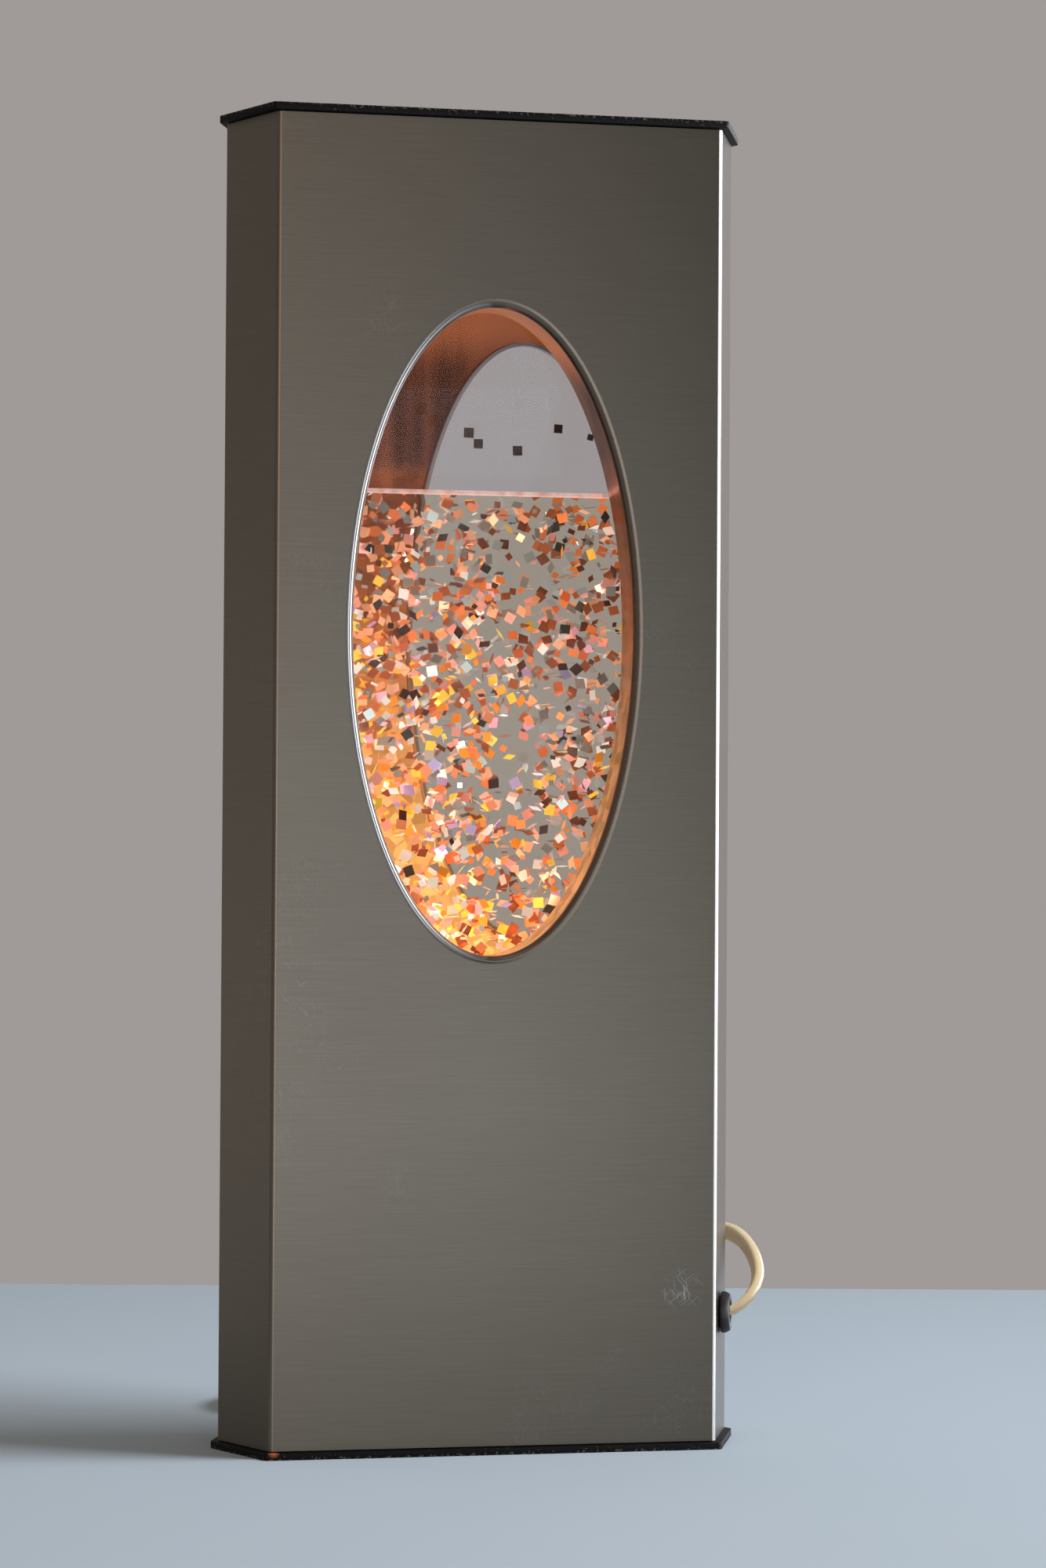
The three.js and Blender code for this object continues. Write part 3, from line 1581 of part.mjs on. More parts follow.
// Plug, pointing towards the lamp
function plug() {
  const middle = plug_half_height + clearance;
  const tailEnd = plug_tail_y - plug_tail_length;
  const front = tailEnd - plug_body_length;
  const root = plug_half_height - rim_round;
  const taperLength = plug_tail_length + cut_overrun;
  const taper = new THREE.CylinderGeometry(plug_tail_radius, root, taperLength, 16);
  taper.translate(plug_x, plug_tail_y - taperLength / 2, middle);
  const corners = [
    [plug_x - plug_half_width, middle - plug_half_height],
    [plug_x + plug_half_width, middle - plug_half_height],
    [plug_x + plug_half_width, middle + plug_half_height],
    [plug_x - plug_half_width, middle + plug_half_height],
  ];
  const body = alongY(outline(roundCorners(corners, plug_corner_radius, true)), front, tailEnd);
  const pockets = [-1, 1].map((side) => bladeBlock(side, front, clearance));
  add('plug_body', toGeometry(cut(join(body, taper), ...pockets)), finishes.cream);
  [-1, 1].forEach((side, i) => {
    add(`plug_blade_${i + 1}`, bladeBlock(side, front, 0), finishes.brass);
  });
}

function bladeBlock(side, front, grow) {
  const middle = plug_half_height + clearance;
  const x = plug_x + (blade_spacing / 2) * side;
  return block(
    [x - blade_thickness / 2 - grow, front - blade_length - grow, middle - blade_height / 2 - grow],
    [x + blade_thickness / 2 + grow, front + blade_root + grow, middle + blade_height / 2 + grow],
  );
}

frontShell();
rearShell();
windowRings();
copperLiner();
topPlate();
basePlate();
caseScrews();
vessel();
glitterLiquid();
vesselLid();
fillerPlug();
shelf();
amberFilter();
vesselPads();
holderBracket();
holderTube();
holderBody();
holderContacts();
bulbBase();
bulbGlass();
bulbFilament();
grommet();
innerCord();
cordClamp();
switchBase();
switchCover();
switchScrews();
rocker();
rockerPin();
contactSpring();
freeCords();
coil();
coilTie();
plug();

export default lamp;
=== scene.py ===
# %% [markdown]
# A tall flat glitter lamp, dressed over its CAD frame. Everything is in metres, in the frame's own axes:
# the origin is under the middle of the base plate, the front faces -Y and +Z is up.

# %% Load the frame
import json
import math
import random
from functools import partial

import bmesh
import bpy
from mathutils import Matrix, Vector, noise

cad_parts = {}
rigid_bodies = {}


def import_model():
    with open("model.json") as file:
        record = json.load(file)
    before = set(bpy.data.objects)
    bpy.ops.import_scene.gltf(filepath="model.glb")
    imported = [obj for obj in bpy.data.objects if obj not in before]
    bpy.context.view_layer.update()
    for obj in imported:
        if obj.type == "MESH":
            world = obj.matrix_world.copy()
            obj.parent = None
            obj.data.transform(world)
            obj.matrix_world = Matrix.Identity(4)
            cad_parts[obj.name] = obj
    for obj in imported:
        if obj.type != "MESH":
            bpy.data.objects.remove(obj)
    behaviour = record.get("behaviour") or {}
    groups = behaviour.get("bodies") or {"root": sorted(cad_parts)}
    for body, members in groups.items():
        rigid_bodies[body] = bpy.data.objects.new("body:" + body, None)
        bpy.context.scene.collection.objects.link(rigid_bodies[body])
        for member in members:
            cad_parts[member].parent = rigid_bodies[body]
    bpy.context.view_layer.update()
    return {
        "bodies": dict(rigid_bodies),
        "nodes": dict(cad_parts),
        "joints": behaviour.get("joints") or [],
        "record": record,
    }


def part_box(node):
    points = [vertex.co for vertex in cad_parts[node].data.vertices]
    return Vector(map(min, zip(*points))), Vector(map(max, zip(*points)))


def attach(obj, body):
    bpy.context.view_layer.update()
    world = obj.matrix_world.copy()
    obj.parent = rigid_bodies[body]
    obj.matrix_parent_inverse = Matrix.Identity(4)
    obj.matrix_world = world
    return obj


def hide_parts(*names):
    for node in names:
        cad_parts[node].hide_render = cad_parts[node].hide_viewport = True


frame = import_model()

bpy.context.scene.view_settings.view_transform = "Standard"
mm = 0.001
nodes = frame["nodes"]

# %% [markdown]
# ## Camera
# The lamp was photographed from a little to its left, from about 1.25 m, with a long lens. The place, the
# turn to the right, the slight upward tilt and the slight roll were found by matching the corners of the
# case. The picture is 1334 by 2000 pixels, and 5600 of its pixels are the lens's focal length.

# %% Camera
picture_width = 1334
picture_height = 2000
focal_pixels = 5600
sensor_height_mm = 36
camera_place = Vector((-272.1, -1239.8, 171.9)) * mm
camera_yaw = 0.2262
camera_pitch = 0.0141
camera_roll = 0.0061


def camera_turn():
    flat = Matrix.Rotation(-camera_yaw, 3, "Z")
    tilt = Matrix.Rotation(math.pi / 2 + camera_pitch, 3, "X")
    return flat @ tilt @ Matrix.Rotation(camera_roll, 3, "Z")


camera = bpy.data.objects.new("camera", bpy.data.cameras.new("camera"))
bpy.context.collection.objects.link(camera)
camera.matrix_world = Matrix.LocRotScale(camera_place, camera_turn(), None)
camera.data.sensor_fit = "VERTICAL"
camera.data.sensor_height = sensor_height_mm
camera.data.lens = focal_pixels * sensor_height_mm / picture_height
camera.data.clip_end = 20
bpy.context.scene.camera = camera


def in_picture(point):
    """Where a point lands in the picture, in its pixels from the top left."""
    seen = camera_turn().transposed() @ (Vector(point) - camera_place)
    across = picture_width / 2 + focal_pixels * seen.x / -seen.z
    down = picture_height / 2 - focal_pixels * seen.y / -seen.z
    return round(across, 1), round(down, 1)


def behind_picture(across, down, depth):
    """The point at a depth in Y that shows at a place in the picture."""
    ray = camera_turn() @ Vector((across - picture_width / 2, picture_height / 2 - down, -focal_pixels))
    return camera_place + ray * ((depth - camera_place.y) / ray.y)


for place in [(-64.5, -27, 377.7), (64.5, -27, 2.3), (-1.2, -28, 324.6)]:
    print("point", place, "lands at", in_picture(Vector(place) * mm))

# %% [markdown]
# ## Cords
# The cord is a flat twin flex, two round cores side by side with a groove between them. It leaves a grommet,
# runs to a switch, and from there into a coil and to its plug. Both pieces follow the frame's own routes.
# A section of the flex is drawn once, and an extrusion carries it from ring to ring, because a curve's
# bevel can't turn its wide side the way this cord lies.

# %% The cord's routes
cord_width = 5.4 * mm
cord_thickness = 2.9 * mm
groove_depth = 0.45 * mm
switch_route = [
    (72.8, -14.7, 38.0), (75.5, -15.3, 39.8), (77.9, -15.0, 42.0), (79.9, -13.7, 44.4),
    (81.3, -11.5, 46.8), (82.3, -7.4, 49.8), (82.8, -1.2, 52.8), (82.6, 5.6, 55.4),
    (81.7, 12.4, 57.2), (79.9, 19.2, 58.0), (76.8, 25.4, 57.6), (72.6, 30.6, 55.5),
    (68.0, 34.4, 51.8), (63.6, 37.0, 46.4), (59.9, 38.8, 39.8), (56.9, 40.1, 32.6),
    (54.4, 41.4, 25.4), (52.5, 43.2, 18.8), (51.2, 46.4, 13.2), (50.4, 50.8, 9.6),
    (50.0, 55.7, 8.0),
]
coil_route = [
    (50.0, 114.3, 8.0), (50.0, 118.6, 7.0), (49.4, 123.8, 4.6), (47.0, 130.4, 2.8),
    (41.2, 136.4, 2.0), (32.6, 138.8, 1.9), (23.6, 136.8, 1.9), (17.2, 131.2, 1.9),
    (14.2, 123.4, 2.3), (13.5, 114.4, 3.0), (13.5, 105.2, 3.6), (13.5, 97.6, 3.8),
    (13.5, 90.7, 3.8),
]
plug_route = [
    (-16.3, 120.5, 10.1), (-10.0, 120.5, 10.1), (-2.4, 120.4, 10.1), (5.4, 120.0, 9.9),
    (12.6, 118.4, 9.2), (18.8, 114.2, 7.9), (23.2, 108.1, 7.0), (25.5, 101.0, 6.6),
    (26.0, 96.2, 6.6), (26.0, 92.3, 6.7),
]
coil_centre = Vector((-22, 85, 0)) * mm
coil_mid_radius = 27 * mm
coil_pitch = 3.9 * mm
coil_turns = 8.75
coil_low = 3.8 * mm
coil_step = 6.3 * mm
coil_points_per_turn = 24
route_spacing = 3 * mm
twist_start_share = 0.55


def coil_point(turn):
    """The coil winds inwards, steps up half way and winds outwards again on top of itself."""
    middle = coil_turns / 2
    away = abs(turn - middle)
    radius = coil_mid_radius - coil_pitch * coil_turns / 4 + coil_pitch * away
    climb = min(max((turn - middle) * 2 + 0.5, 0), 1)
    climb = climb ** 3 * (climb * (climb * 6 - 15) + 10)
    angle = -turn * 2 * math.pi
    height = coil_low + coil_step * climb
    return coil_centre + Vector((radius * math.cos(angle), radius * math.sin(angle), height))


def smooth_route(points):
    """Points close together on a centripetal spline through the given ones."""
    points = [2 * points[0] - points[1], *points, 2 * points[-1] - points[-2]]
    result = []
    for a, b, c, d in zip(points, points[1:], points[2:], points[3:]):
        first, middle, last = (math.sqrt((q - p).length) for p, q in ((a, b), (b, c), (c, d)))
        leave = ((b - a) / first - (c - a) / (first + middle) + (c - b) / middle) * middle
        arrive = ((c - b) / middle - (d - b) / (middle + last) + (d - c) / last) * middle
        steps = max(1, round((c - b).length / route_spacing))
        for i in range(steps):
            t = i / steps
            result.append(
                b * (2 * t ** 3 - 3 * t ** 2 + 1)
                + leave * (t ** 3 - 2 * t ** 2 + t)
                + c * (3 * t ** 2 - 2 * t ** 3)
                + arrive * (t ** 3 - t ** 2)
            )
    return [*result, points[-2]]


def metres(points):
    return [Vector(point) * mm for point in points]


def path_length(points):
    return sum((b - a).length for a, b in zip(points, points[1:]))


switch_path = smooth_route(metres(switch_route))
turns = [coil_point(i / coil_points_per_turn) for i in range(round(coil_turns * coil_points_per_turn) + 1)]
tail_path = smooth_route(metres(coil_route) + turns + metres(plug_route))
print("cord lengths", round(path_length(switch_path), 4), round(path_length(tail_path), 4))

# %% [markdown]
# A flat cord also needs to know which way its wide side lies. From the grommet to the switch the side is
# carried along with as little turning as the two ends allow. On the table the cord lies flat, and it stands
# on edge in the coil, as a flat flex does when it is wound up, so there the side is set against the level.

# %% The way the flex lies
z_axis = Vector((0, 0, 1))
x_axis = Vector((1, 0, 0))
facet_run = Vector((0.355, 0.935, 0))
facet_out = Vector((0.935, -0.355, 0))
grommet_reach = 3.5 * mm
on_edge = math.pi / 2


def along_path(points):
    last = len(points) - 1
    return [(points[min(i + 1, last)] - points[max(i - 1, 0)]).normalized() for i in range(last + 1)]


def lying(point, wide, along):
    """A frame with X across the wide side and Z along the cord."""
    return Matrix.Translation(point) @ Matrix((wide, along.cross(wide), along)).transposed().to_4x4()


def carried_frames(points, wide_at_start, wide_at_end):
    """Frames whose wide side turns as little as the two ends allow."""
    along = along_path(points)
    wide = [(wide_at_start - along[0] * along[0].dot(wide_at_start)).normalized()]
    for before, after in zip(along, along[1:]):
        wide.append(before.rotation_difference(after) @ wide[-1])
    thin = along[-1].cross(wide[-1])
    change = math.atan2(wide_at_end.dot(thin), wide_at_end.dot(wide[-1]))
    change -= round(change / math.pi) * math.pi
    last = len(points) - 1
    return [
        lying(points[i], Matrix.Rotation(change * i / last, 3, along[i]) @ wide[i], along[i])
        for i in range(last + 1)
    ]


def level_frames(points, roll_at_start, roll_at_end, roll_from=0.0):
    """Frames whose wide side is level, apart from a roll that changes along the way."""
    last = len(points) - 1
    frames = []
    for i, along in enumerate(along_path(points)):
        share = max(0, i / last - roll_from) / (1 - roll_from)
        roll = roll_at_start + (roll_at_end - roll_at_start) * share
        wide = Matrix.Rotation(roll, 3, along) @ along.cross(z_axis).normalized()
        frames.append(lying(points[i], wide, along))
    return frames


def nearest(points, place):
    return min(range(len(points)), key=lambda i: (points[i] - place).length)


switch_frames = carried_frames(switch_path, facet_run, x_axis)
coil_start = nearest(tail_path, turns[0])
coil_end = nearest(tail_path, turns[-1])
tail_frames = [
    *level_frames(tail_path[:coil_start + 1], 0, on_edge, twist_start_share),
    *level_frames(tail_path[coil_start:coil_end + 1], on_edge, on_edge)[1:],
    *level_frames(tail_path[coil_end:], on_edge, 0)[1:],
]
print("rings", len(switch_frames), len(tail_frames))

# %% [markdown]
# ## Making pieces
# Each new piece is shaped in a bmesh, then merged, turned outwards and given soft shading with sharp edges
# where two faces meet at more than 35 degrees. It rides on the lamp and stands for the nodes it replaces.

# %% Sweep and finish
sharp_angle = math.radians(35)
merge_distance = 1e-6


def sweep(bm, section, frames, closed=False):
    """Extrudes a closed section from frame to frame, and caps or joins its ends."""
    verts = [bm.verts.new(frames[0] @ Vector((x, y, 0))) for x, y in section]
    edges = [bm.edges.new((a, b)) for a, b in zip(verts, [*verts[1:], verts[0]])]
    first_edges = edges
    for before, after in zip(frames, [*frames[1:], frames[0]] if closed else frames[1:]):
        made = bmesh.ops.extrude_edge_only(bm, edges=edges)["geom"]
        verts = [g for g in made if isinstance(g, bmesh.types.BMVert)]
        edges = [g for g in made if isinstance(g, bmesh.types.BMEdge) and g.is_boundary]
        bmesh.ops.transform(bm, matrix=after @ before.inverted(), verts=verts)
    if closed:
        bmesh.ops.remove_doubles(bm, verts=bm.verts, dist=merge_distance)
    else:
        bmesh.ops.edgenet_fill(bm, edges=first_edges)
        bmesh.ops.edgenet_fill(bm, edges=edges)


def block(size):
    """A box round the origin."""
    bm = bmesh.new()
    bmesh.ops.create_cube(bm, size=1)
    bmesh.ops.scale(bm, vec=size, verts=bm.verts)
    return bm


def as_object(bm, name):
    mesh = bpy.data.meshes.new(name)
    bm.to_mesh(mesh)
    bm.free()
    thing = bpy.data.objects.new(name, mesh)
    bpy.context.collection.objects.link(thing)
    return thing


def declare(piece, replaces):
    """New pieces all belong to the lamp's own body, and the moving ones are the frame's own nodes."""
    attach(piece, "lamp")
    if replaces:
        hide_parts(*replaces)


def new_piece(bm, name, material, replaces=()):
    bmesh.ops.remove_doubles(bm, verts=bm.verts, dist=merge_distance)
    bmesh.ops.recalc_face_normals(bm, faces=bm.faces)
    for face in bm.faces:
        face.smooth = True
    for edge in bm.edges:
        edge.smooth = len(edge.link_faces) == 2 and edge.calc_face_angle(0) < sharp_angle
    piece = as_object(bm, name)
    piece.data.materials.append(material)
    declare(piece, replaces)
    print(name, len(piece.data.polygons), "faces")
    return piece


# %% [markdown]
# ## Materials
# Colours are written as sRGB hex values. Patterns read Object coordinates, which are metres here, so a
# pattern's scale is one over its real size.

# %% Material helpers


def colour(text):
    """An sRGB hex value as linear red, green, blue and alpha."""
    parts = [int(text[i:i + 2], 16) / 255 for i in (1, 3, 5)]
    return (*(c / 12.92 if c <= 0.04045 else ((c + 0.055) / 1.055) ** 2.4 for c in parts), 1)


def add_node(tree, kind, inputs=None, **settings):
    """Adds a node with its settings. An input is a value, another node's output, or a node for its first."""
    node = tree.nodes.new("ShaderNode" + kind)
    for name, value in settings.items():
        setattr(node, name, value)
    for socket, source in (inputs or {}).items():
        if isinstance(source, bpy.types.Node):
            source = source.outputs[0]
        if isinstance(source, bpy.types.NodeSocket):
            tree.links.new(node.inputs[socket], source)
        else:
            node.inputs[socket].default_value = source
    return node


def new_material(name):
    """A material with no nodes yet, and add_node for its tree."""
    material = bpy.data.materials.new(name)
    material.use_nodes = True
    material.node_tree.nodes.clear()
    print("material", name)
    return material, partial(add_node, material.node_tree)


def spot(add, place, centre, radius, full_share, strength=1):
    """A round patch, full inside a share of its radius and faded out at its edge."""
    away = add("VectorMath", {0: place, 1: centre}, operation="DISTANCE").outputs["Value"]
    span = {"From Min": radius, "From Max": full_share * radius, "To Max": strength}
    return add("MapRange", {**span, "Value": away})


# %% [markdown]
# The case is stainless sheet, brushed level with a fine belt. The brushing spreads a reflection up and down
# but hardly sideways, which is why the front shows smooth upright gradients and no mirror image. The real
# brush lines are about 0.1 mm apart; they are drawn 0.35 mm apart so that they show. Along the bends, which
# the surface's own direction gives away, a pale highlight is painted into the colour: strong on the bends
# that face right, towards the windows, and weak on those that face left.

# %% Brushed steel
brush_line = 0.35 * mm
brush_length = 16 * mm
cloud_size = 40 * mm
scuff_centre = Vector((54.7, -27, 45.6)) * mm
scuff_radius = 6.8 * mm
scuff_strength = 0.8
worn_start = 0.58
worn_full = 0.72
worn_strength = 0.12
scratch_length = 7 * mm
scratch_width = 0.3 * mm
scratch_turns = (84, 48, -38)
peak_start = 0.68
peak_full = 0.74
# how far sideways a surface faces: 0 on the front, 0.94 on a side facet, and all between on a bend
bend_facing = 0.48
bend_start = 0.44
bend_full = 0.38
turned_right = 0.05
# the share of the painted bend highlight kept on bends that face left, away from the windows
highlight_on_left = 0.15


def scratches(add, place):
    """Hairline scratches in three directions: a noise drawn out long and thin, with only its peaks kept."""
    total = None
    for turn in scratch_turns:
        shape = {"Rotation": (0, math.radians(turn), 0), "Scale": (scratch_length, 1, scratch_width)}
        along = add("Mapping", {**shape, "Vector": place}, vector_type="TEXTURE")
        streak = add("TexNoise", {"Scale": 1, "Detail": 0, "Vector": along})
        peak = add("MapRange", {"From Min": peak_start, "From Max": peak_full, "Value": streak})
        if total is not None:
            peak = add("Math", {0: total, 1: peak}, operation="MAXIMUM")
        total = peak
    return total


def brushed_steel():
    material, add = new_material("brushed_stainless_steel")
    place = add("TexCoord").outputs["Object"]
    drawn_out = add(
        "Mapping", {"Scale": (1 / brush_length, 1 / brush_length, 1 / brush_line), "Vector": place}
    )
    lines = add("TexNoise", {"Scale": 1, "Detail": 2, "Vector": drawn_out})
    clouds = add("TexNoise", {"Scale": 1 / cloud_size, "Detail": 2, "Vector": place})
    sheet_colour = add(
        "Mix", {6: colour("#60584d"), 7: colour("#6b6357"), "Factor": lines}, data_type="RGBA"
    )
    surface = add("NewGeometry").outputs["Normal"]
    parts = add("SeparateXYZ", {"Vector": surface})
    sideways = add("Math", {0: parts.outputs["X"]}, operation="ABSOLUTE")
    from_middle = add("Math", {0: sideways, 1: bend_facing}, operation="SUBTRACT")
    off_bend = add("Math", {0: from_middle}, operation="ABSOLUTE")
    bend = add("MapRange", {"From Min": bend_start, "From Max": bend_full, "Value": off_bend})
    # painted highlight on the bends: full where they face right, towards the windows, and weak where they
    # face left
    rightward = {"From Min": -turned_right, "From Max": turned_right, "To Min": highlight_on_left}
    lit_side = add("MapRange", {**rightward, "Value": parts.outputs["X"]})
    painted_bend_highlight = add("Math", {0: bend, 1: lit_side}, operation="MULTIPLY")
    bend_highlighted = add(
        "Mix", {6: sheet_colour.outputs[2], 7: colour("#8c8a86"), "Factor": painted_bend_highlight}, data_type="RGBA"
    )
    hairlines = scratches(add, place)
    scuffed = spot(add, place, scuff_centre, scuff_radius, 0.4, scuff_strength)
    worn_area = {"From Min": worn_start, "From Max": worn_full, "To Max": worn_strength}
    worn = add("MapRange", {**worn_area, "Value": clouds})
    wear = add("Math", {0: scuffed, 1: worn}, operation="MAXIMUM")
    scratched = add("Math", {0: wear, 1: hairlines}, operation="MULTIPLY")
    base = add("Mix", {6: bend_highlighted.outputs[2], 7: colour("#a09c95"), "Factor": scratched}, data_type="RGBA")
    rough = add("MapRange", {"To Min": 0.32, "To Max": 0.34, "Value": clouds})
    bump = add("Bump", {"Strength": 0.05, "Distance": 0.0001, "Height": lines})
    level = add("VectorMath", {0: (0, 0, 1), 1: surface}, operation="CROSS_PRODUCT")
    shader = add("BsdfPrincipled", {
        "Metallic": 1, "Anisotropic": 0.8, "Anisotropic Rotation": 0.25, "Base Color": base.outputs[2],
        "Roughness": rough, "Normal": bump, "Tangent": level,
    })
    add("OutputMaterial", {"Surface": shader})
    return material


steel = brushed_steel()

# %% [markdown]
# The other finishes are each one shader with a mottle in their colour and gloss and a fine grain in their
# surface, at the size that the real finish has: orange peel on moulded plastic, spangle on zinc, crystal
# on a rough enamel.

# %% Plain finishes


def plain(name, base, roughness, metallic=0.0, speck=0.06, grain_mm=1.5, bump_strength=0.05, gloss=0.5):
    material, add = new_material(name)
    place = add("TexCoord").outputs["Object"]
    grain = add("TexNoise", {"Scale": 1 / (grain_mm * mm), "Detail": 4, "Vector": place})
    dark = tuple(c * (1 - speck) for c in colour(base)[:3]) + (1,)
    light = tuple(min(1, c * (1 + speck)) for c in colour(base)[:3]) + (1,)
    mix = add("Mix", {6: dark, 7: light, "Factor": grain}, data_type="RGBA")
    rough = add(
        "MapRange", {"To Min": max(0, roughness - 0.06), "To Max": min(1, roughness + 0.06), "Value": grain}
    )
    bump = add("Bump", {"Strength": bump_strength, "Distance": 0.0002, "Height": grain})
    shader = add("BsdfPrincipled", {
        "Metallic": metallic, "Specular IOR Level": gloss, "Base Color": mix.outputs[2],
        "Roughness": rough, "Normal": bump,
    })
    add("OutputMaterial", {"Surface": shader})
    return material


# a pale matt grey for the rear rim behind its roll: a painted reflection of the room's light on its metal
painted_rim_reflection = plain("painted_rim_reflection", "#e2dad6", 0.5, speck=0.03)
rubber = plain("moulded_rubber", "#1a1612", 0.5, grain_mm=0.3, bump_strength=0.2)
zinc = plain("zinc_plate", "#b0b2b4", 0.35, metallic=1, grain_mm=3)
bakelite = plain("bakelite", "#20160f", 0.3)
brass = plain("brass", "#b8954a", 0.3, metallic=1)
flex_vinyl = plain("cream_vinyl_flex", "#eedcb2", 0.32, grain_mm=6, bump_strength=0.03)
cream = plain("moulded_cream_plastic", "#e0d6bd", 0.35, speck=0.03, grain_mm=0.7, bump_strength=0.08)
wire_black = plain("wire_insulation_black", "#222222", 0.5)
wire_white = plain("wire_insulation_white", "#d8d8d4", 0.5)
print("materials", len(bpy.data.materials))

# %% [markdown]
# The two plates are black enamel on steel. Handling has chipped their edges, so light specks show there, and
# near the front left foot a small copper coloured patch is painted on the edge.

# %% Chipped enamel
chip_size = 0.9 * mm
half_height = 190 * mm
chipped_from = 188.9 * mm
chip_start = 0.66
chip_full = 0.72
copper_patch_centre = Vector((-63.6, -28.9, 2.4)) * mm
copper_patch_radius = 1.9 * mm


def black_enamel():
    material, add = new_material("black_enamel")
    place = add("TexCoord").outputs["Object"]
    grain = add("TexNoise", {"Scale": 1 / chip_size, "Detail": 3, "Vector": place})
    height = add("SeparateXYZ", {"Vector": place})
    from_middle = add("Math", {0: height.outputs["Z"], 1: half_height}, operation="SUBTRACT")
    to_edge = add("Math", {0: from_middle}, operation="ABSOLUTE")
    near_edge = add(
        "MapRange", {"From Min": chipped_from, "From Max": half_height, "To Max": 0.2, "Value": to_edge}
    )
    facing = add("SeparateXYZ", {"Vector": add("NewGeometry").outputs["Normal"]})
    flat = add("Math", {0: facing.outputs["Z"]}, operation="ABSOLUTE")
    upright = add("Math", {0: 1, 1: flat}, operation="SUBTRACT")
    likely = add("Math", {0: near_edge, 1: upright, 2: grain}, operation="MULTIPLY_ADD")
    chips = add("MapRange", {"From Min": chip_start, "From Max": chip_full, "Value": likely})
    chipped = add("Mix", {6: colour("#060606"), 7: colour("#5a5854"), "Factor": chips}, data_type="RGBA")
    # a small copper coloured patch on the edge near the front left foot
    copper_patch = spot(add, place, copper_patch_centre, copper_patch_radius, 0.3)
    base = add("Mix", {6: chipped.outputs[2], 7: colour("#c07040"), "Factor": copper_patch}, data_type="RGBA")
    bump = add("Bump", {"Strength": 0.5, "Distance": 0.0003, "Height": grain})
    shader = add(
        "BsdfPrincipled",
        {"Roughness": 0.6, "Specular IOR Level": 0.12, "Base Color": base.outputs[2], "Normal": bump},
    )
    add("OutputMaterial", {"Surface": shader})
    return material


black = black_enamel()

# %% [markdown]
# The lining is sheet faced with copper. The bulb below makes it glow: strongly beside the liquid, which
# scatters the light sideways onto it, and hardly at all beside the air above. Light that has gone through
# so many flakes is slow to trace, so part of it is given to the lining as a glow that fades with height.

# %% Copper
glow_low = 135 * mm
glow_high = 285 * mm
lid_glow_low = 311 * mm
lid_glow_high = 326 * mm
sleeve_glow_drop = 11 * mm
mirrored_flake = 3.2 * mm
glow_in_air = 0.14
glow_at_foot = 1.3
glow_in_sleeve = 0.34
glow_under_lid = 0.36
glow_fade = 4 * mm
sleeve_start = -8 * mm
sleeve_full = -12 * mm
streaks_per_metre = (130, 130, 14)


def copper_with_painted_glow():
    material, add = new_material("copper_with_painted_glow")
    place = add("TexCoord").outputs["Object"]
    drawn_out = add("Mapping", {"Scale": streaks_per_metre, "Vector": place})
    sheen = add("TexNoise", {"Scale": 1, "Detail": 2, "Vector": drawn_out})
    streak = add("MapRange", {"From Min": 0.35, "From Max": 0.65, "Value": sheen})
    base = add("Mix", {6: colour("#542b17"), 7: colour("#8a4b29"), "Factor": streak}, data_type="RGBA")
    parts = add("SeparateXYZ", {"Vector": place})
    height = parts.outputs["Z"]
    rise = {"From Min": glow_high, "From Max": glow_low, "To Min": glow_in_air, "To Max": glow_at_foot}
    beside_liquid = add("MapRange", {**rise, "Value": height}, interpolation_type="SMOOTHSTEP")
    at_liquid = add("MapRange", {"From Min": glow_high, "From Max": glow_high - glow_fade, "Value": height})
    cells = add("TexVoronoi", {"Scale": 1 / mirrored_flake, "Vector": place})
    cell = add("SeparateColor", {"Color": cells.outputs["Color"]})
    mirrored = add("MapRange", {"To Min": 0.6, "To Max": 1.4, "Value": cell})
    steady = add("Math", {0: beside_liquid, 1: at_liquid}, operation="MULTIPLY")
    # the window sleeve wears this material as a painted reflection of the lit lining, with a weaker glow
    in_sleeve = add(
        "MapRange", {"From Min": sleeve_start, "From Max": sleeve_full, "Value": parts.outputs["Y"]}
    )
    shaded = add("MapRange", {"To Min": 1, "To Max": glow_in_sleeve, "Value": in_sleeve})
    patch = add("Math", {0: shaded, 1: mirrored}, operation="MULTIPLY")
    mottled = add("Math", {0: steady, 1: patch, 2: 0.02}, operation="MULTIPLY_ADD")
    # painted highlight near the top, for the bulb's light thrown down by the lid; on the sleeve it starts
    # lower
    raised = add("Math", {0: in_sleeve, 1: sleeve_glow_drop, 2: height}, operation="MULTIPLY_ADD")
    lid_span = {"From Min": lid_glow_low, "From Max": lid_glow_high, "To Max": glow_under_lid}
    under_lid = add("MapRange", {**lid_span, "Value": raised}, interpolation_type="SMOOTHSTEP")
    glow = add("Math", {0: mottled, 1: under_lid})
    warmth = add(
        "Mix", {6: colour("#d8703c"), 7: colour("#fbb068"), "Factor": beside_liquid}, data_type="RGBA"
    )
    shader = add("BsdfPrincipled", {
        "Metallic": 1, "Roughness": 0.3, "Base Color": base.outputs[2],
        "Emission Color": warmth.outputs[2], "Emission Strength": glow,
    })
    add("OutputMaterial", {"Surface": shader})
    return material


copper = copper_with_painted_glow()

# %% [markdown]
# ## Flex, boots and their declarations
# Where the flex enters the switch and the plug, a tapered boot of soft vinyl takes up the bending. It follows
# the flex's own frames for 20 mm and shrinks from ring to ring, with grooves moulded round it.

# %% Flex section and boots
boot_length = 20 * mm
boot_width = (4.6 * mm, 3.1 * mm)
boot_height = (3.4 * mm, 1.8 * mm)
boot_grooves = 5
boot_groove_depth = 0.35 * mm
grooved_from = 0.15
grooved_share = 0.75


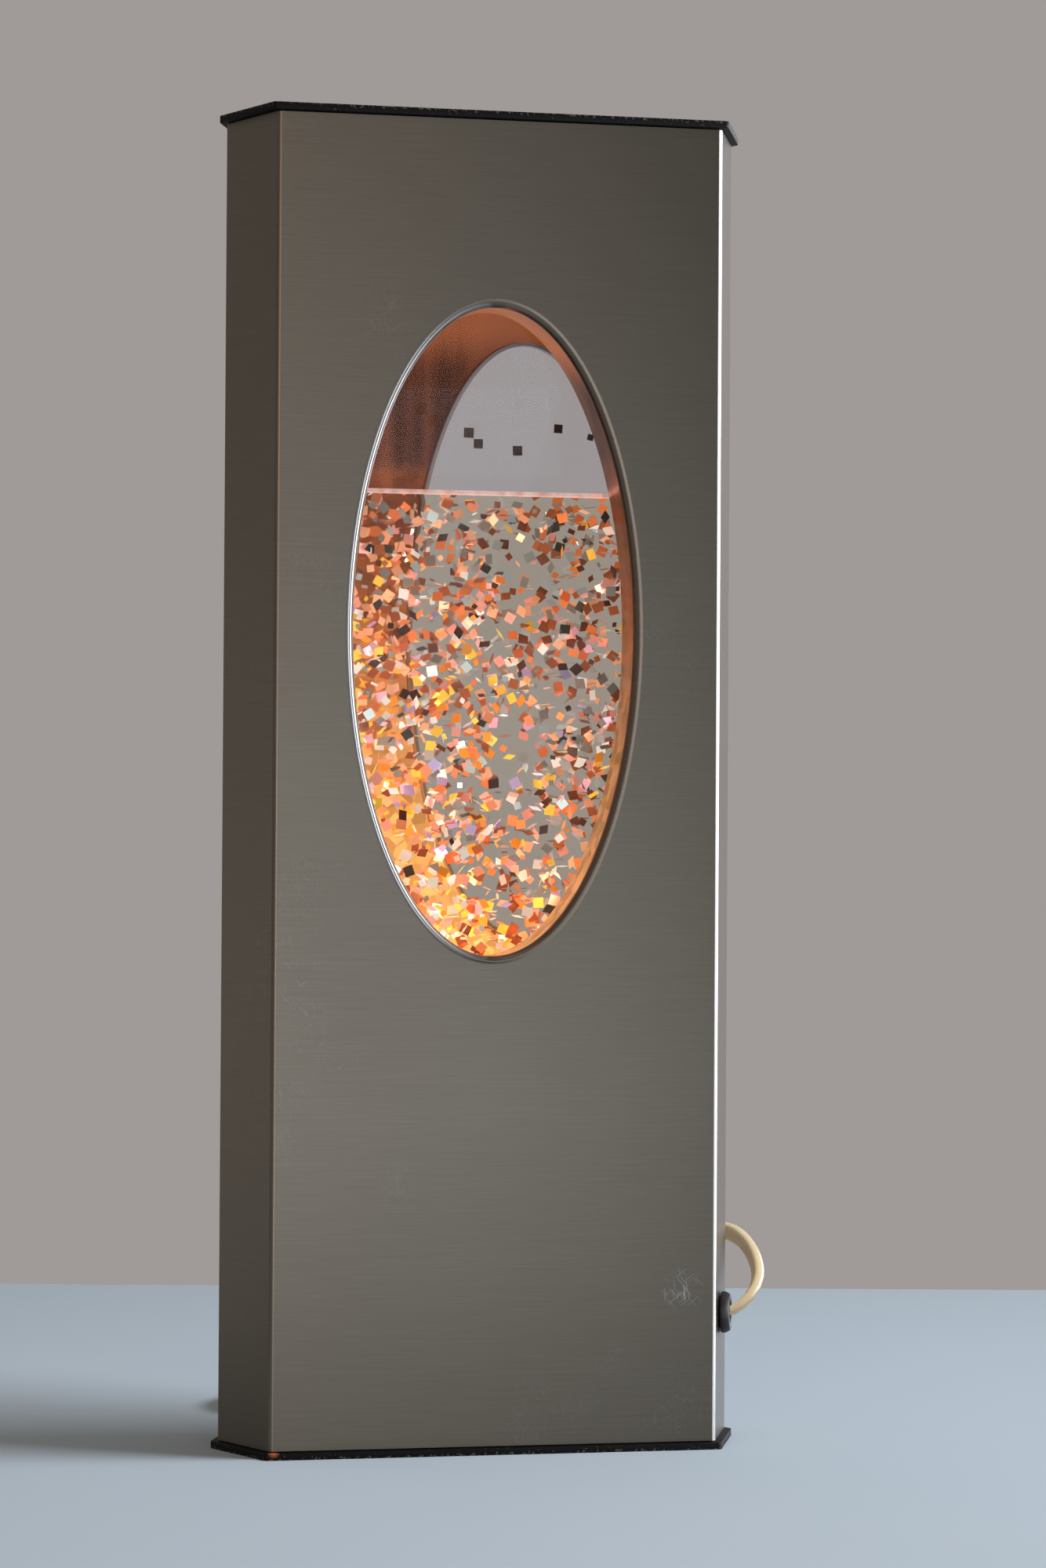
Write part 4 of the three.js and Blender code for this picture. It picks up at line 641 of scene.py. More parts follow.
def flex_section(steps=9):
    """The flex's outline: two round cores with a groove between them."""
    core = cord_thickness / 2
    shift = cord_width / 2 - core
    open_angle = math.radians(112)
    lobe = [-open_angle + 2 * open_angle * i / steps for i in range(steps + 1)]
    half = [(shift + core * math.cos(a), core * math.sin(a)) for a in lobe]
    groove = (0, core - groove_depth)
    return [*half, groove, *((-x, -y) for x, y in half), (0, groove_depth - core)]


def boot(name, frames, rings=30, sides=28):
    """A tapered, grooved boot that starts at the first frame and follows the others."""
    places = [frame.translation for frame in frames]
    bm = bmesh.new()
    sized = []
    for i in range(rings + 1):
        share = i / rings
        reach = share * boot_length
        at = 0
        while at < len(places) - 2 and reach > (places[at + 1] - places[at]).length:
            reach -= (places[at + 1] - places[at]).length
            at += 1
        frame = frames[at].lerp(frames[at + 1], reach / (places[at + 1] - places[at]).length)
        wave = math.sin((share - grooved_from) / grooved_share * boot_grooves * 2 * math.pi)
        in_groove = grooved_from < share < grooved_from + grooved_share and wave > 0.2
        cut = boot_groove_depth if in_groove else 0
        width = boot_width[0] + (boot_width[1] - boot_width[0]) * share - cut
        height = boot_height[0] + (boot_height[1] - boot_height[0]) * share - cut
        sized.append(frame @ Matrix.Diagonal((width, height, 1, 1)))
    circle = [(math.cos(2 * math.pi * i / sides), math.sin(2 * math.pi * i / sides)) for i in range(sides)]
    sweep(bm, circle, sized)
    return new_piece(bm, name, cream)


boots = {
    "switch_boot_in": boot("switch_boot_in", switch_frames[::-1]),
    "switch_boot_out": boot("switch_boot_out", tail_frames),
    "plug_boot": boot("plug_boot", tail_frames[::-1]),
}

# %% Cord pieces
in_grommet = Matrix.Translation(-grommet_reach * facet_out) @ switch_frames[0]
bm = bmesh.new()
sweep(bm, flex_section(), [in_grommet, *switch_frames])
cord_to_switch = new_piece(bm, "flex_to_switch", flex_vinyl, ["cord_to_switch"])
bm = bmesh.new()
sweep(bm, flex_section(), tail_frames)
tail_nodes = ["cord_to_coil", "cord_coil", "cord_to_plug"]
tail = new_piece(bm, "flex_to_plug", flex_vinyl, tail_nodes)

# %% [markdown]
# ## The case
# Two sheets of stainless steel, 1.2 mm thick, are bent round the front and round the back and meet at the
# middle of the sides. A strip of sheet is extruded up from its outline, its bends are rounded by a bevel,
# and solidify gives it its thickness. The openings are cut by booleans, because an ellipse in a flat sheet
# has no edge loops of its own to follow.

# %% Case sizes
case_low, case_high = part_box("rear_shell")[0].z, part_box("rear_shell")[1].z
half_depth = -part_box("front_shell")[0].y
side_half_width = 74.75 * mm
front_half_width = 64.5 * mm
sheet = 1.2 * mm
bend_radius = 1.5 * mm
seam_gap = 0.15 * mm
lap_reach = 10 * mm
lap_behind = 6 * mm
lap_gap = 0.25 * mm
lap_trim = 14 * mm
facet_slope = (side_half_width - front_half_width) / half_depth
facet_turn = math.atan(facet_slope)
bend_angle = math.pi / 2 - facet_turn
ring_steps = 192
window_gap = 1.3 * mm
front_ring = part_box("front_window_sleeve")
rear_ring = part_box("rear_window_rim")
rim_width = 2.4 * mm


def facet_x(y, inset=0.0):
    """How far out the side facet's line lies at a depth, moved inwards by an inset."""
    return side_half_width - facet_slope * abs(y) - inset / math.cos(facet_turn)


def opening(ring):
    """Centre, half width and half height of the ellipse inside a rim."""
    low, high = ring
    centre = (low + high) / 2
    return Vector((centre.x, 0, centre.z)), (high.x - low.x) / 2 - rim_width, (high.z - low.z) / 2 - rim_width


print("facets lean", round(math.degrees(facet_turn), 1), "degrees")

# %% Sheet and cutting helpers


def round_edges(bm, edges, offset, segments):
    bmesh.ops.bevel(
        bm, geom=edges, affect="EDGES", offset=offset, segments=segments, profile=0.5, material=-1
    )


def bent_sheet(bm, outline, low, high, thickness):
    """Stands a strip of sheet up along its outer outline, with its bends rounded."""
    before = set(bm.faces)
    verts = [bm.verts.new((x, y, low)) for x, y in outline]
    edges = [bm.edges.new(pair) for pair in zip(verts, verts[1:])]
    made = bmesh.ops.extrude_edge_only(bm, edges=edges)["geom"]
    top = [g for g in made if isinstance(g, bmesh.types.BMVert)]
    bmesh.ops.translate(bm, vec=(0, 0, high - low), verts=top)
    faces = [face for face in bm.faces if face not in before]
    bm.normal_update()
    if faces[0].normal.dot(faces[0].calc_center_median()) < 0:
        bmesh.ops.reverse_faces(bm, faces=faces)
    bends = [edge for edge in {e for f in faces for e in f.edges} if len(edge.link_faces) == 2]
    if bends:
        round_edges(bm, bends, bend_radius * math.tan(bend_angle / 2), 8)
    bm.normal_update()
    faces = [face for face in bm.faces if face not in before]
    bmesh.ops.solidify(bm, geom=faces, thickness=thickness)


def ellipse_tool(ring, front, back):
    """A closed elliptical plug along Y, for cutting the hole that a rim sits in."""
    centre, half_width, half_height = opening(ring)
    size = (half_width + window_gap, back - front, half_height + window_gap)
    tool = bmesh.new()
    bmesh.ops.create_cone(tool, cap_ends=True, segments=ring_steps, radius1=1, radius2=1, depth=1)
    bmesh.ops.rotate(tool, cent=(0, 0, 0), matrix=Matrix.Rotation(math.pi / 2, 3, "X"), verts=tool.verts)
    bmesh.ops.scale(tool, vec=size, verts=tool.verts)
    bmesh.ops.translate(tool, vec=(centre.x, (front + back) / 2, centre.z), verts=tool.verts)
    return tool


def cut_away(bm, *tools):
    """Subtracts closed shapes from a closed shape."""
    body = as_object(bm, "blank")
    cutters = [as_object(tool, "tool") for tool in tools]
    for cutter in cutters:
        modifier = body.modifiers.new("cut", "BOOLEAN")
        modifier.operation = "DIFFERENCE"
        modifier.solver = "EXACT"
        modifier.object = cutter
    done = bpy.data.meshes.new_from_object(body.evaluated_get(bpy.context.evaluated_depsgraph_get()))
    result = bmesh.new()
    result.from_mesh(done)
    for thing in (body, *cutters):
        bpy.data.objects.remove(thing)
    return result


def case_outline(side):
    """The front (side -1) or the rear (side 1) sheet's outer outline, from right to left."""
    seam = seam_gap * side
    return [
        (facet_x(seam), seam),
        (front_half_width, half_depth * side),
        (-front_half_width, half_depth * side),
        (-facet_x(seam), seam),
    ]


# %% Front sheet
bm = bmesh.new()
bent_sheet(bm, case_outline(-1), case_low, case_high, sheet)
bm = cut_away(bm, ellipse_tool(front_ring, -half_depth - sheet, -half_depth + 3 * sheet))
for side in (1, -1):
    inner = [(side * facet_x(y, sheet + lap_gap), y) for y in (-lap_behind, 0, lap_reach)]
    bent_sheet(bm, inner, case_low + lap_trim, case_high - lap_trim, sheet)
front_sheet = new_piece(bm, "front_sheet", steel, ["front_shell"])
front_sheet.modifiers.new("face_weighted", "WEIGHTED_NORMAL").keep_sharp = True

# %% Rear sheet with its vents
vent_width = 3.2 * mm
vent_height = 26 * mm
vent_pitch = 11 * mm
vent_count = 7
vent_centre_z = 40 * mm
vent_round = 0.45 * vent_width
bm = bmesh.new()
bent_sheet(bm, case_outline(1), case_low, case_high, sheet)
tools = [ellipse_tool(rear_ring, half_depth - 3 * sheet, half_depth + sheet)]
for i in range(vent_count):
    vent = block((vent_width, 6 * sheet, vent_height))
    through = [edge for edge in vent.edges if abs(edge.verts[0].co.y - edge.verts[1].co.y) > sheet]
    round_edges(vent, through, vent_round, 6)
    x = (i - (vent_count - 1) / 2) * vent_pitch
    bmesh.ops.translate(vent, vec=(x, half_depth, vent_centre_z), verts=vent.verts)
    tools.append(vent)
bm = cut_away(bm, *tools)
rear_sheet = new_piece(bm, "rear_sheet", steel, ["rear_shell"])
rear_sheet.modifiers.new("face_weighted", "WEIGHTED_NORMAL").keep_sharp = True

# %% [markdown]
# ## Screws of the rear sheet
# Four low, domed screws hold the rear sheet to the front sheet's laps. The outline of half a screw is spun
# round its axis, and a cross recess is cut into its head.

# %% Rear screws
screw_head_radius = 2.8 * mm
screw_head_height = 0.7 * mm
screw_radius = 1.5 * mm
screw_length = 6 * mm
recess_width = 0.6 * mm
recess_span = 2.8 * mm
recess_depth = 0.45 * mm
screw_reach = 5.6 * mm


def low_screw(place, axis):
    bm = bmesh.new()
    dome = [
        (screw_head_radius * math.sin(a), screw_head_height * math.cos(a))
        for a in [math.pi / 2 * i / 6 for i in range(7)]
    ]
    outline = [*dome, (screw_radius, 0), (screw_radius, -screw_length), (0, -screw_length)]
    verts = [bm.verts.new((r, 0, h)) for r, h in outline]
    edges = [bm.edges.new(pair) for pair in zip(verts, verts[1:])]
    bmesh.ops.spin(
        bm, geom=verts + edges, cent=(0, 0, 0), axis=(0, 0, 1), angle=2 * math.pi, steps=32, use_merge=True
    )
    bmesh.ops.remove_doubles(bm, verts=bm.verts, dist=merge_distance)
    bmesh.ops.recalc_face_normals(bm, faces=bm.faces)
    cutters = []
    for turn in (0, math.pi / 2):
        cutter = block((recess_span, recess_width, 2 * recess_depth))
        bmesh.ops.rotate(cutter, cent=(0, 0, 0), matrix=Matrix.Rotation(turn, 3, "Z"), verts=cutter.verts)
        bmesh.ops.translate(cutter, vec=(0, 0, screw_head_height), verts=cutter.verts)
        cutters.append(cutter)
    bm = cut_away(bm, *cutters)
    frame = Matrix.LocRotScale(place, axis.to_track_quat("Z", "Y"), None)
    bmesh.ops.transform(bm, matrix=frame, verts=bm.verts)
    return bm


for number in range(1, 5):
    low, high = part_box(f"rear_screw_{number}")
    side = math.copysign(1, low.x)
    facing = Vector((side * math.cos(facet_turn), math.sin(facet_turn), 0))
    place = Vector((side * facet_x(screw_reach), screw_reach, (low.z + high.z) / 2))
    new_piece(low_screw(place, facing), f"low_screw_{number}", zinc, [f"rear_screw_{number}"])

# %% [markdown]
# ## Window sleeve and rear rim
# The sheet rolls inwards round each opening, and a short sleeve runs on from the roll. The roll turns through
# every direction, so one side of it catches the room's windows as a white line. Behind the roll the front
# sleeve takes the lining's copper and its glow, a painted reflection of the lit lining, and the rear rim a
# pale matt grey, a painted reflection of the room's light. One section is carried round an ellipse, so the
# roll keeps its width.

# %% Rims
roll_proud = 0.15 * mm
edge_proud = 0.05 * mm
sleeve_wall = 1 * mm


def ellipse_frames(centre, half_width, half_height):
    """Frames round an upright ellipse: X outwards in its plane and Y along +Y."""
    frames = []
    for i in range(ring_steps):
        angle = 2 * math.pi * i / ring_steps
        point = centre + Vector((half_width * math.cos(angle), 0, half_height * math.sin(angle)))
        out = Vector((math.cos(angle) / half_width, 0, math.sin(angle) / half_height)).normalized()
        deep = Vector((0, 1, 0))
        turn = Matrix((out, deep, out.cross(deep))).transposed().to_4x4()
        frames.append(Matrix.Translation(point) @ turn)
    return frames


def rim_section(face, inner_end, steps=12):
    """A quarter roll from the sheet's face inwards, and a sleeve wall that runs on to its inner end."""
    outward = math.copysign(1, face - inner_end)
    points = [(0, inner_end)]
    for i in range(steps + 1):
        angle = math.pi / 2 * i / steps
        out = rim_width * (1 - math.cos(angle))
        points.append((out, face + outward * (roll_proud - rim_width * (1 - math.sin(angle)))))
    back = face - outward * sheet
    return [*points, (rim_width, face + outward * edge_proud), (sleeve_wall, back), (sleeve_wall, inner_end)]


for name, ring, face, inner_end, inside, node in [
    ("window_sleeve", front_ring, -half_depth, front_ring[1].y, copper, "front_window_sleeve"),
    ("rear_opening_rim", rear_ring, half_depth, rear_ring[0].y, painted_rim_reflection, "rear_window_rim"),
]:
    bm = bmesh.new()
    sweep(bm, rim_section(face, inner_end), ellipse_frames(*opening(ring)), closed=True)
    rim = new_piece(bm, name, steel, [node])
    # behind the roll: the front sleeve's copper glow and the rear rim's pale grey are painted reflections
    rim.data.materials.append(inside)
    for part in rim.data.polygons:
        part.material_index = abs(part.center.y) < half_depth - rim_width + roll_proud

# %% [markdown]
# ## Copper lining
# A thin copper coloured sheet lines the back of the case behind the vessel. It turns the bulb's light warm
# and throws it forwards through the flakes.

# %% Lining
liner_low, liner_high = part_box("copper_liner")
liner_thickness = 0.5 * mm
liner_inset = sheet + 0.3 * mm
liner_corner = (facet_x(liner_high.y, liner_inset), liner_high.y)
liner_end = (facet_x(liner_low.y, liner_inset), liner_low.y)
bm = bmesh.new()
bent_sheet(
    bm,
    [liner_end, liner_corner, (-liner_corner[0], liner_corner[1]), (-liner_end[0], liner_end[1])],
    liner_low.z,
    liner_high.z,
    liner_thickness,
)
bm = cut_away(bm, ellipse_tool(rear_ring, liner_high.y - 3 * sheet, half_depth))
new_piece(bm, "copper_lining", copper, ["copper_liner"])

# %% [markdown]
# ## Flakes
# Square flakes of metallised film, just under 3 mm across, drift in the liquid at every angle. Each is a thin
# slab of twelve triangles, and its colour is kept on its vertices, because thousands of small pieces can't
# each have a material. Each square shows one tone, a painted reflection of one spot of its surroundings that
# also glows: the glow of the bulb from below and from the left, the dark of the room, or the pale window.

# %% Flake colours
flake_size = 2.9 * mm
flake_thickness = 0.08 * mm
flake_count = 3700
flakes_per_batch = 100
flake_margin = 1.5 * mm
small_share = 0.4
slanted_share = 0.66
strong_slant = math.radians(62)
weak_slant = math.radians(24)
small_flake = (0.45, 0.75)
whole_flake = (0.92, 1.06)
cluster_size = 22 * mm
flake_brightness = (0.62, 1.12)
glow_low_left = 0.7
usual_chance = 0.5
chance_on_left = 0.3
chance_in_cluster = 0.6
liquid_low, liquid_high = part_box("glitter_liquid")
rng = random.Random(7)
flake_hues = {
    "orange": "#ea8850",
    "peach": "#f4b08a",
    "deep_orange": "#c8693c",
    "amber": "#f59a34",
    "yellow": "#f8c850",
    "copper": "#a05a38",
    "brown": "#74422e",
    "dark_brown": "#42291f",
    "charcoal": "#403c38",
    "grey": "#8a857e",
    "pale_grey": "#aab0b0",
    "white": "#fff6f0",
    "pink": "#e8a094",
    "rose": "#eab2c6",
    "lilac": "#b29cc4",
    "cyan": "#84c8d8",
}


def flake_weights(left, low, deep):
    """How often each colour shows, by how far left, how low and how deep in the liquid a flake is."""
    near = 1 - deep
    warm = 1 - 0.5 * (1 - left) * (1 - low)
    return {
        "orange": warm * (0.5 + 0.5 * deep) + 0.5 * left,
        "peach": warm * (1.1 + 0.8 * deep) + 0.6 * left,
        "deep_orange": warm * (0.35 + 0.4 * deep),
        "amber": 0.15 + 1.8 * left * low,
        "yellow": 0.15 + 0.3 * near * left + 2.6 * left * low,
        "copper": 0.9 + 0.5 * deep,
        "brown": 1.1 + 0.9 * deep * (1 - left) * (1 - low) - 0.8 * left,
        "dark_brown": near * (2.0 - 1.5 * left) * (1 - 0.7 * low),
        "charcoal": near * (1.5 - 0.9 * left) * (1 - 0.6 * low),
        "grey": 1.5 + 0.6 * near - 0.9 * left,
        "pale_grey": 0.5 + 0.5 * near + 0.8 * low,
        "white": 0.25 + 0.3 * near + 2.2 * low * (0.3 + 0.7 * near),
        "pink": 0.6 + 0.7 * low,
        "rose": near * (0.2 + 0.9 * low),
        "lilac": near * (0.2 + 1.1 * low),
        "cyan": near * 0.2 * low,
    }


def flake_hue(place):
    span = liquid_high - liquid_low
    share = place - liquid_low
    left, low = 1 - share.x / span.x, 1 - share.z / span.z
    weights = flake_weights(left, low, min(1, share.y / (0.6 * span.y)))
    name = rng.choices(list(weights), list(weights.values()))[0]
    strength = rng.uniform(*flake_brightness) * (1 + glow_low_left * left * low)
    return (*(min(1, c * strength) for c in colour(flake_hues[name])[:3]), 1)


print("flake colours", len(flake_hues))

# %% Flake makers


def add_flake(bm, layer, place, turn, size, shade):
    scale = Matrix.Diagonal((size, flake_thickness, size, 1))
    made = bmesh.ops.create_cube(bm, size=1, matrix=Matrix.Translation(place) @ turn.to_4x4() @ scale)
    for vert in made["verts"]:
        vert[layer] = shade


def flake_turn():
    """Flakes mostly face the walls they drift between; two thirds of them slant strongly."""
    lean = strong_slant if rng.random() < slanted_share else weak_slant
    roll = Matrix.Rotation(rng.uniform(0, math.pi / 2), 3, "Y")
    nod = Matrix.Rotation(rng.gauss(0, lean), 3, "X")
    turn = Matrix.Rotation(rng.gauss(0, lean), 3, "Z")
    return turn @ nod @ roll


def flake_place():
    """A place in the liquid, more likely on the left and where flakes have drifted together."""
    margin = Vector((flake_margin, flake_margin, flake_margin))
    while True:
        place = Vector([rng.uniform(a, b) for a, b in zip(liquid_low + margin, liquid_high - margin)])
        left = 1 - (place.x - liquid_low.x) / (liquid_high.x - liquid_low.x)
        clustered = chance_in_cluster * noise.noise(place / cluster_size)
        if rng.random() < usual_chance + chance_on_left * left + clustered:
            return place


def foil():
    # metallised film, mirror bright but crinkled: each square's painted reflection colour also glows, so it
    # shows one even tone
    material, add = new_material("metallised_film")
    shade = add("Attribute", attribute_name="flake_colour").outputs["Color"]
    shader = add("BsdfPrincipled", {
        "Metallic": 0.7, "Roughness": 0.25, "Base Color": shade, "Emission Color": shade,
        "Emission Strength": 0.58,
    })
    add("OutputMaterial", {"Surface": shader})
    return material


film = foil()


def flake_piece(name, flakes, replaces=()):
    """Makes one piece of many flakes, in batches, because each new flake searches the batch it joins."""
    whole = bmesh.new()
    whole.verts.layers.float_color.new("flake_colour")
    for start in range(0, len(flakes), flakes_per_batch):
        batch = bmesh.new()
        layer = batch.verts.layers.float_color.new("flake_colour")
        for flake in flakes[start:start + flakes_per_batch]:
            add_flake(batch, layer, *flake)
        mesh = bpy.data.meshes.new("batch")
        batch.to_mesh(mesh)
        batch.free()
        whole.from_mesh(mesh)
        bpy.data.meshes.remove(mesh)
    piece = as_object(whole, name)
    piece.data.materials.append(film)
    declare(piece, replaces)
    print(name, len(flakes), "flakes", len(piece.data.polygons), "faces")
    return piece


# %% Flakes in the liquid
flakes = []
for _ in range(flake_count):
    place = flake_place()
    size = flake_size * rng.uniform(*(small_flake if rng.random() < small_share else whole_flake))
    flakes.append((place, flake_turn(), size, flake_hue(place)))
flake_piece("glitter_flakes", flakes, ["glitter_liquid"])

# %% [markdown]
# A few flakes have dried onto the inside of the vessel's front wall above the liquid. They are the only
# pieces placed by the picture: each lies where the line of sight meets that wall.

# %% Stuck flakes
front_wall_y = -8.6 * mm
stuck = [
    ((598, 552), 2.9 * mm, 2, "#3c2f28"),
    ((610, 566), 2.7 * mm, 1, "#3a2c25"),
    ((660, 575), 2.8 * mm, -2, "#33261f"),
    ((712, 547), 2.5 * mm, 3, "#1e0f0a"),
    ((753, 558), 1.8 * mm, 12, "#382a23"),
]
flakes = []
for pixel, size, turn, shade in stuck:
    turn = Matrix.Rotation(math.radians(turn), 3, "Y")
    flakes.append((behind_picture(*pixel, front_wall_y), turn, size, colour(shade)))
flake_piece("stuck_flakes", flakes)

# %% [markdown]
# ## Clear parts
# The vessel is clear acrylic, and it holds a clear, faintly yellow liquid. Both are shown by a shader that
# lets light straight through and glances some of it off by angle, because real refraction through four thin
# walls would bend nothing that the eye notices and would make the flakes' shadows noisy.

# %% Clear materials


def clear_plastic(name, tint, ior, roughness=0.02):
    material, add = new_material(name)
    through = add("BsdfTransparent", {"Color": colour(tint)})
    gloss = add("BsdfPrincipled", {"Base Color": (1, 1, 1, 1), "Metallic": 1, "Roughness": roughness})
    facing = add("Fresnel", {"IOR": ior})
    shader = add("MixShader", {0: facing, 1: through, 2: gloss})
    add("OutputMaterial", {"Surface": shader})
    return material


acrylic = clear_plastic("clear_acrylic", "#fdfdfe", 1.13)
liquid_material = clear_plastic("clear_liquid", "#fdfaf0", 1.05)
amber_plastic = clear_plastic("amber_acrylic", "#f0a040", 1.49)


def warm_bulb():
    # clear glass in front of a hot wire: from outside it reads as a warm glow
    material, add = new_material("warm_bulb_glass")
    through = add("BsdfTransparent", {"Color": colour("#fff0d8")})
    glow = add("BsdfPrincipled", {
        "Base Color": colour("#ffd9a0"), "Roughness": 0.1, "Emission Color": colour("#ffb860"),
        "Emission Strength": 3,
    })
    shader = add("MixShader", {0: 0.5, 1: through, 2: glow})
    add("OutputMaterial", {"Surface": shader})
    return material


# %% [markdown]
# Seen from just below, the liquid's surface is a mirror. Its reflection of the glow and the flakes under it
# is painted as one bright streaked line that glows, with a small upward curl where the liquid wets the walls.

# %% Liquid and its surface
surface_thickness = 0.5 * mm
surface_clear = 0.02 * mm
wetting_rise = 0.9 * mm
wetting_width = 1.2 * mm
streak_length = 3.5 * mm
# how far the line of sight turns from straight through (0) to along the surface (1)
mirror_from = 0.76
mirror_full = 0.92
least_mirror = 0.08
most_mirror = 0.8


def wet_surface():
    material, add = new_material("liquid_surface")
    place = add("TexCoord").outputs["Object"]
    streaks = add("TexNoise", {"Scale": 1 / streak_length, "Detail": 3, "Vector": place})
    # the painted reflection: streaks from warm orange to pale pink, which also glow
    mix = add("Mix", {6: colour("#cc6c42"), 7: colour("#ffece4"), "Factor": streaks}, data_type="RGBA")
    warm = mix.outputs[2]
    glow = add("BsdfPrincipled", {
        "Metallic": 1, "Roughness": 0.1, "Base Color": warm, "Emission Color": warm,
        "Emission Strength": 0.55,
    })
    facing = add("LayerWeight", {"Blend": 0.5}).outputs["Facing"]
    span = {"From Min": mirror_from, "From Max": mirror_full, "To Min": least_mirror, "To Max": most_mirror}
    mirror = add("MapRange", {**span, "Value": facing})
    surface = add("NewGeometry").outputs["Normal"]
    parts = add("SeparateXYZ", {"Vector": surface})
    level_part = add("Math", {0: parts.outputs["Z"]}, operation="ABSOLUTE")
    shown = add("Mix", {2: 0.75, "Factor": level_part, 3: mirror})
    through = add("BsdfTransparent")
    shader = add("MixShader", {0: shown, 1: through, 2: glow})
    add("OutputMaterial", {"Surface": shader})
    return material


def filled_box(low, high):
    bm = block(high - low)
    bmesh.ops.translate(bm, vec=(low + high) / 2, verts=bm.verts)
    return bm


level = Vector((0, 0, surface_thickness))
bm = filled_box(liquid_low, liquid_high - level)
new_piece(bm, "clear_liquid", liquid_material, ["glitter_liquid"])
surface_low = liquid_high.z - surface_thickness + surface_clear
bm = filled_box(Vector((liquid_low.x, liquid_low.y, surface_low)), liquid_high)
top_face = max(bm.faces, key=lambda face: face.calc_center_median().z)
bmesh.ops.inset_region(bm, faces=[top_face], thickness=wetting_width)
at_top = [vert for vert in bm.verts if vert.co.z > liquid_high.z - surface_thickness / 2]
rim = [vert for vert in at_top if vert not in top_face.verts]
bmesh.ops.translate(bm, vec=(0, 0, wetting_rise), verts=rim)
new_piece(bm, "liquid_surface", wet_surface())

# %% [markdown]
# ## Finish on the frame's own nodes
# The nodes whose shape is right keep their mesh. Their loose triangles are welded, their edges are broken by
# a small bevel, so that they catch the light as worn edges do, and each gets the finish of its real material.
# The screws, brackets and other small metal pieces not named here are zinc plated. The filament shares their
# grey, because the bulb's glow hides it.

# %% Finishes by node
made_of = (
    (black, "top_plate base_plate"),
    (acrylic, "vessel vessel_lid"),
    (amber_plastic, "amber_filter"),
    (warm_bulb(), "bulb_glass"),
    (rubber, "filler_plug vessel_pad_left vessel_pad_right cord_grommet coil_tie"),
    (bakelite, "holder_body"),
    (brass, "holder_screw_shell holder_contact bulb_tip bulb_screw_base contact_spring"),
    (brass, "plug_blade_1 plug_blade_2"),
    (cream, "switch_base switch_cover switch_rocker plug_body"),
    (flex_vinyl, "cord_inner"),
    (wire_black, "lead_line"),
    (wire_white, "lead_neutral"),
)
finishes = {name: material for material, names in made_of for name in names.split()}
edge_break = 0.25 * mm


def dress(name, node):
    node.data.materials.clear()
    node.data.materials.append(finishes.get(name, zinc))
    for face in node.data.polygons:
        face.use_smooth = True
    weld = node.modifiers.new("weld", "WELD")
    weld.merge_threshold = merge_distance
    bevel = node.modifiers.new("broken_edges", "BEVEL")
    bevel.width = edge_break
    bevel.segments = 2
    bevel.limit_method = "ANGLE"
    bevel.angle_limit = sharp_angle
    bevel.harden_normals = True


for name, node in nodes.items():
    if not node.hide_render:
        dress(name, node)
print("dressed", sum(not node.hide_render for node in nodes.values()), "nodes")

# %% [markdown]
# ## Table, backdrop and light
# The lamp stands on a pale, matt lacquered table before a pale wall. The wall is the world's colour, where
# the camera, mirrors and clear parts look; everything else gets a dim, slightly warm light from the room.

# %% Table
table_half = 0.445
table_thickness = 0.03
lacquer = plain("pale_lacquered_table", "#b6c3cd", 0.36, speck=0.01, grain_mm=60, bump_strength=0, gloss=0)
bm = filled_box(Vector((-table_half, -table_half, -table_thickness)), Vector((table_half, table_half, 0)))
bmesh.ops.rotate(bm, cent=(0, 0, 0), matrix=Matrix.Rotation(-camera_yaw, 3, "Z"), verts=bm.verts)
table = as_object(bm, "table")
table.data.materials.append(lacquer)
print("table", 2 * table_half, "m wide")

# %% World
backdrop = "#a09a98"
room_light = 0.19
world = bpy.data.worlds.new("studio")
bpy.context.scene.world = world
world.use_nodes = True
world.node_tree.nodes.clear()
add = partial(add_node, world.node_tree)
light_path = add("LightPath")
seen = add(
    "Math",
    {0: light_path.outputs["Is Camera Ray"], 1: light_path.outputs["Is Glossy Ray"]},
    operation="MAXIMUM",
)
shown = add("Math", {0: seen, 1: light_path.outputs["Is Transmission Ray"]}, operation="MAXIMUM")
soft = add("Background", {"Color": colour("#fff2e4"), "Strength": room_light})
wall = add("Background", {"Color": colour(backdrop), "Strength": 1})
world_mix = add("MixShader", {0: shown, 1: soft, 2: wall})
add("OutputWorld", {"Surface": world_mix})
print("backdrop", backdrop, "room light", room_light)

# %% [markdown]
# Two kinds of lamp keep reflections and shadows apart. Three wide windows at the right, a low strip in front
# and one at the left show in the steel alone. Two small daylight lamps high at the right throw the lamp's
# shadow over the table to the left, and nothing mirrors them. A warm softbox in front to the left and one
# overhead do both, and the bulb's light comes from a small lamp under the vessel.

# %% Lights


def softbox(name, place, aim, width, height, radiance, tint, unseen_by=None):
    """A rectangular lamp of a given brightness, left out of one kind of ray where that is named."""
    data = bpy.data.lights.new(name, "AREA")
    data.shape = "RECTANGLE"
    data.size = width
    data.size_y = height
    data.energy = radiance * math.pi * width * height
    data.color = colour(tint)[:3]
    lamp = bpy.data.objects.new(name, data)
    bpy.context.collection.objects.link(lamp)
    turn = (Vector(place) - Vector(aim)).to_track_quat("Z", "Y")
    lamp.matrix_world = Matrix.LocRotScale(Vector(place), turn, None)
    if unseen_by:
        setattr(lamp, f"visible_{unseen_by}", False)


def at_bearing(bearing, distance, height):
    """A place at a bearing in degrees from -Y towards +X."""
    angle = math.radians(bearing)
    return distance * math.sin(angle), -distance * math.cos(angle), height


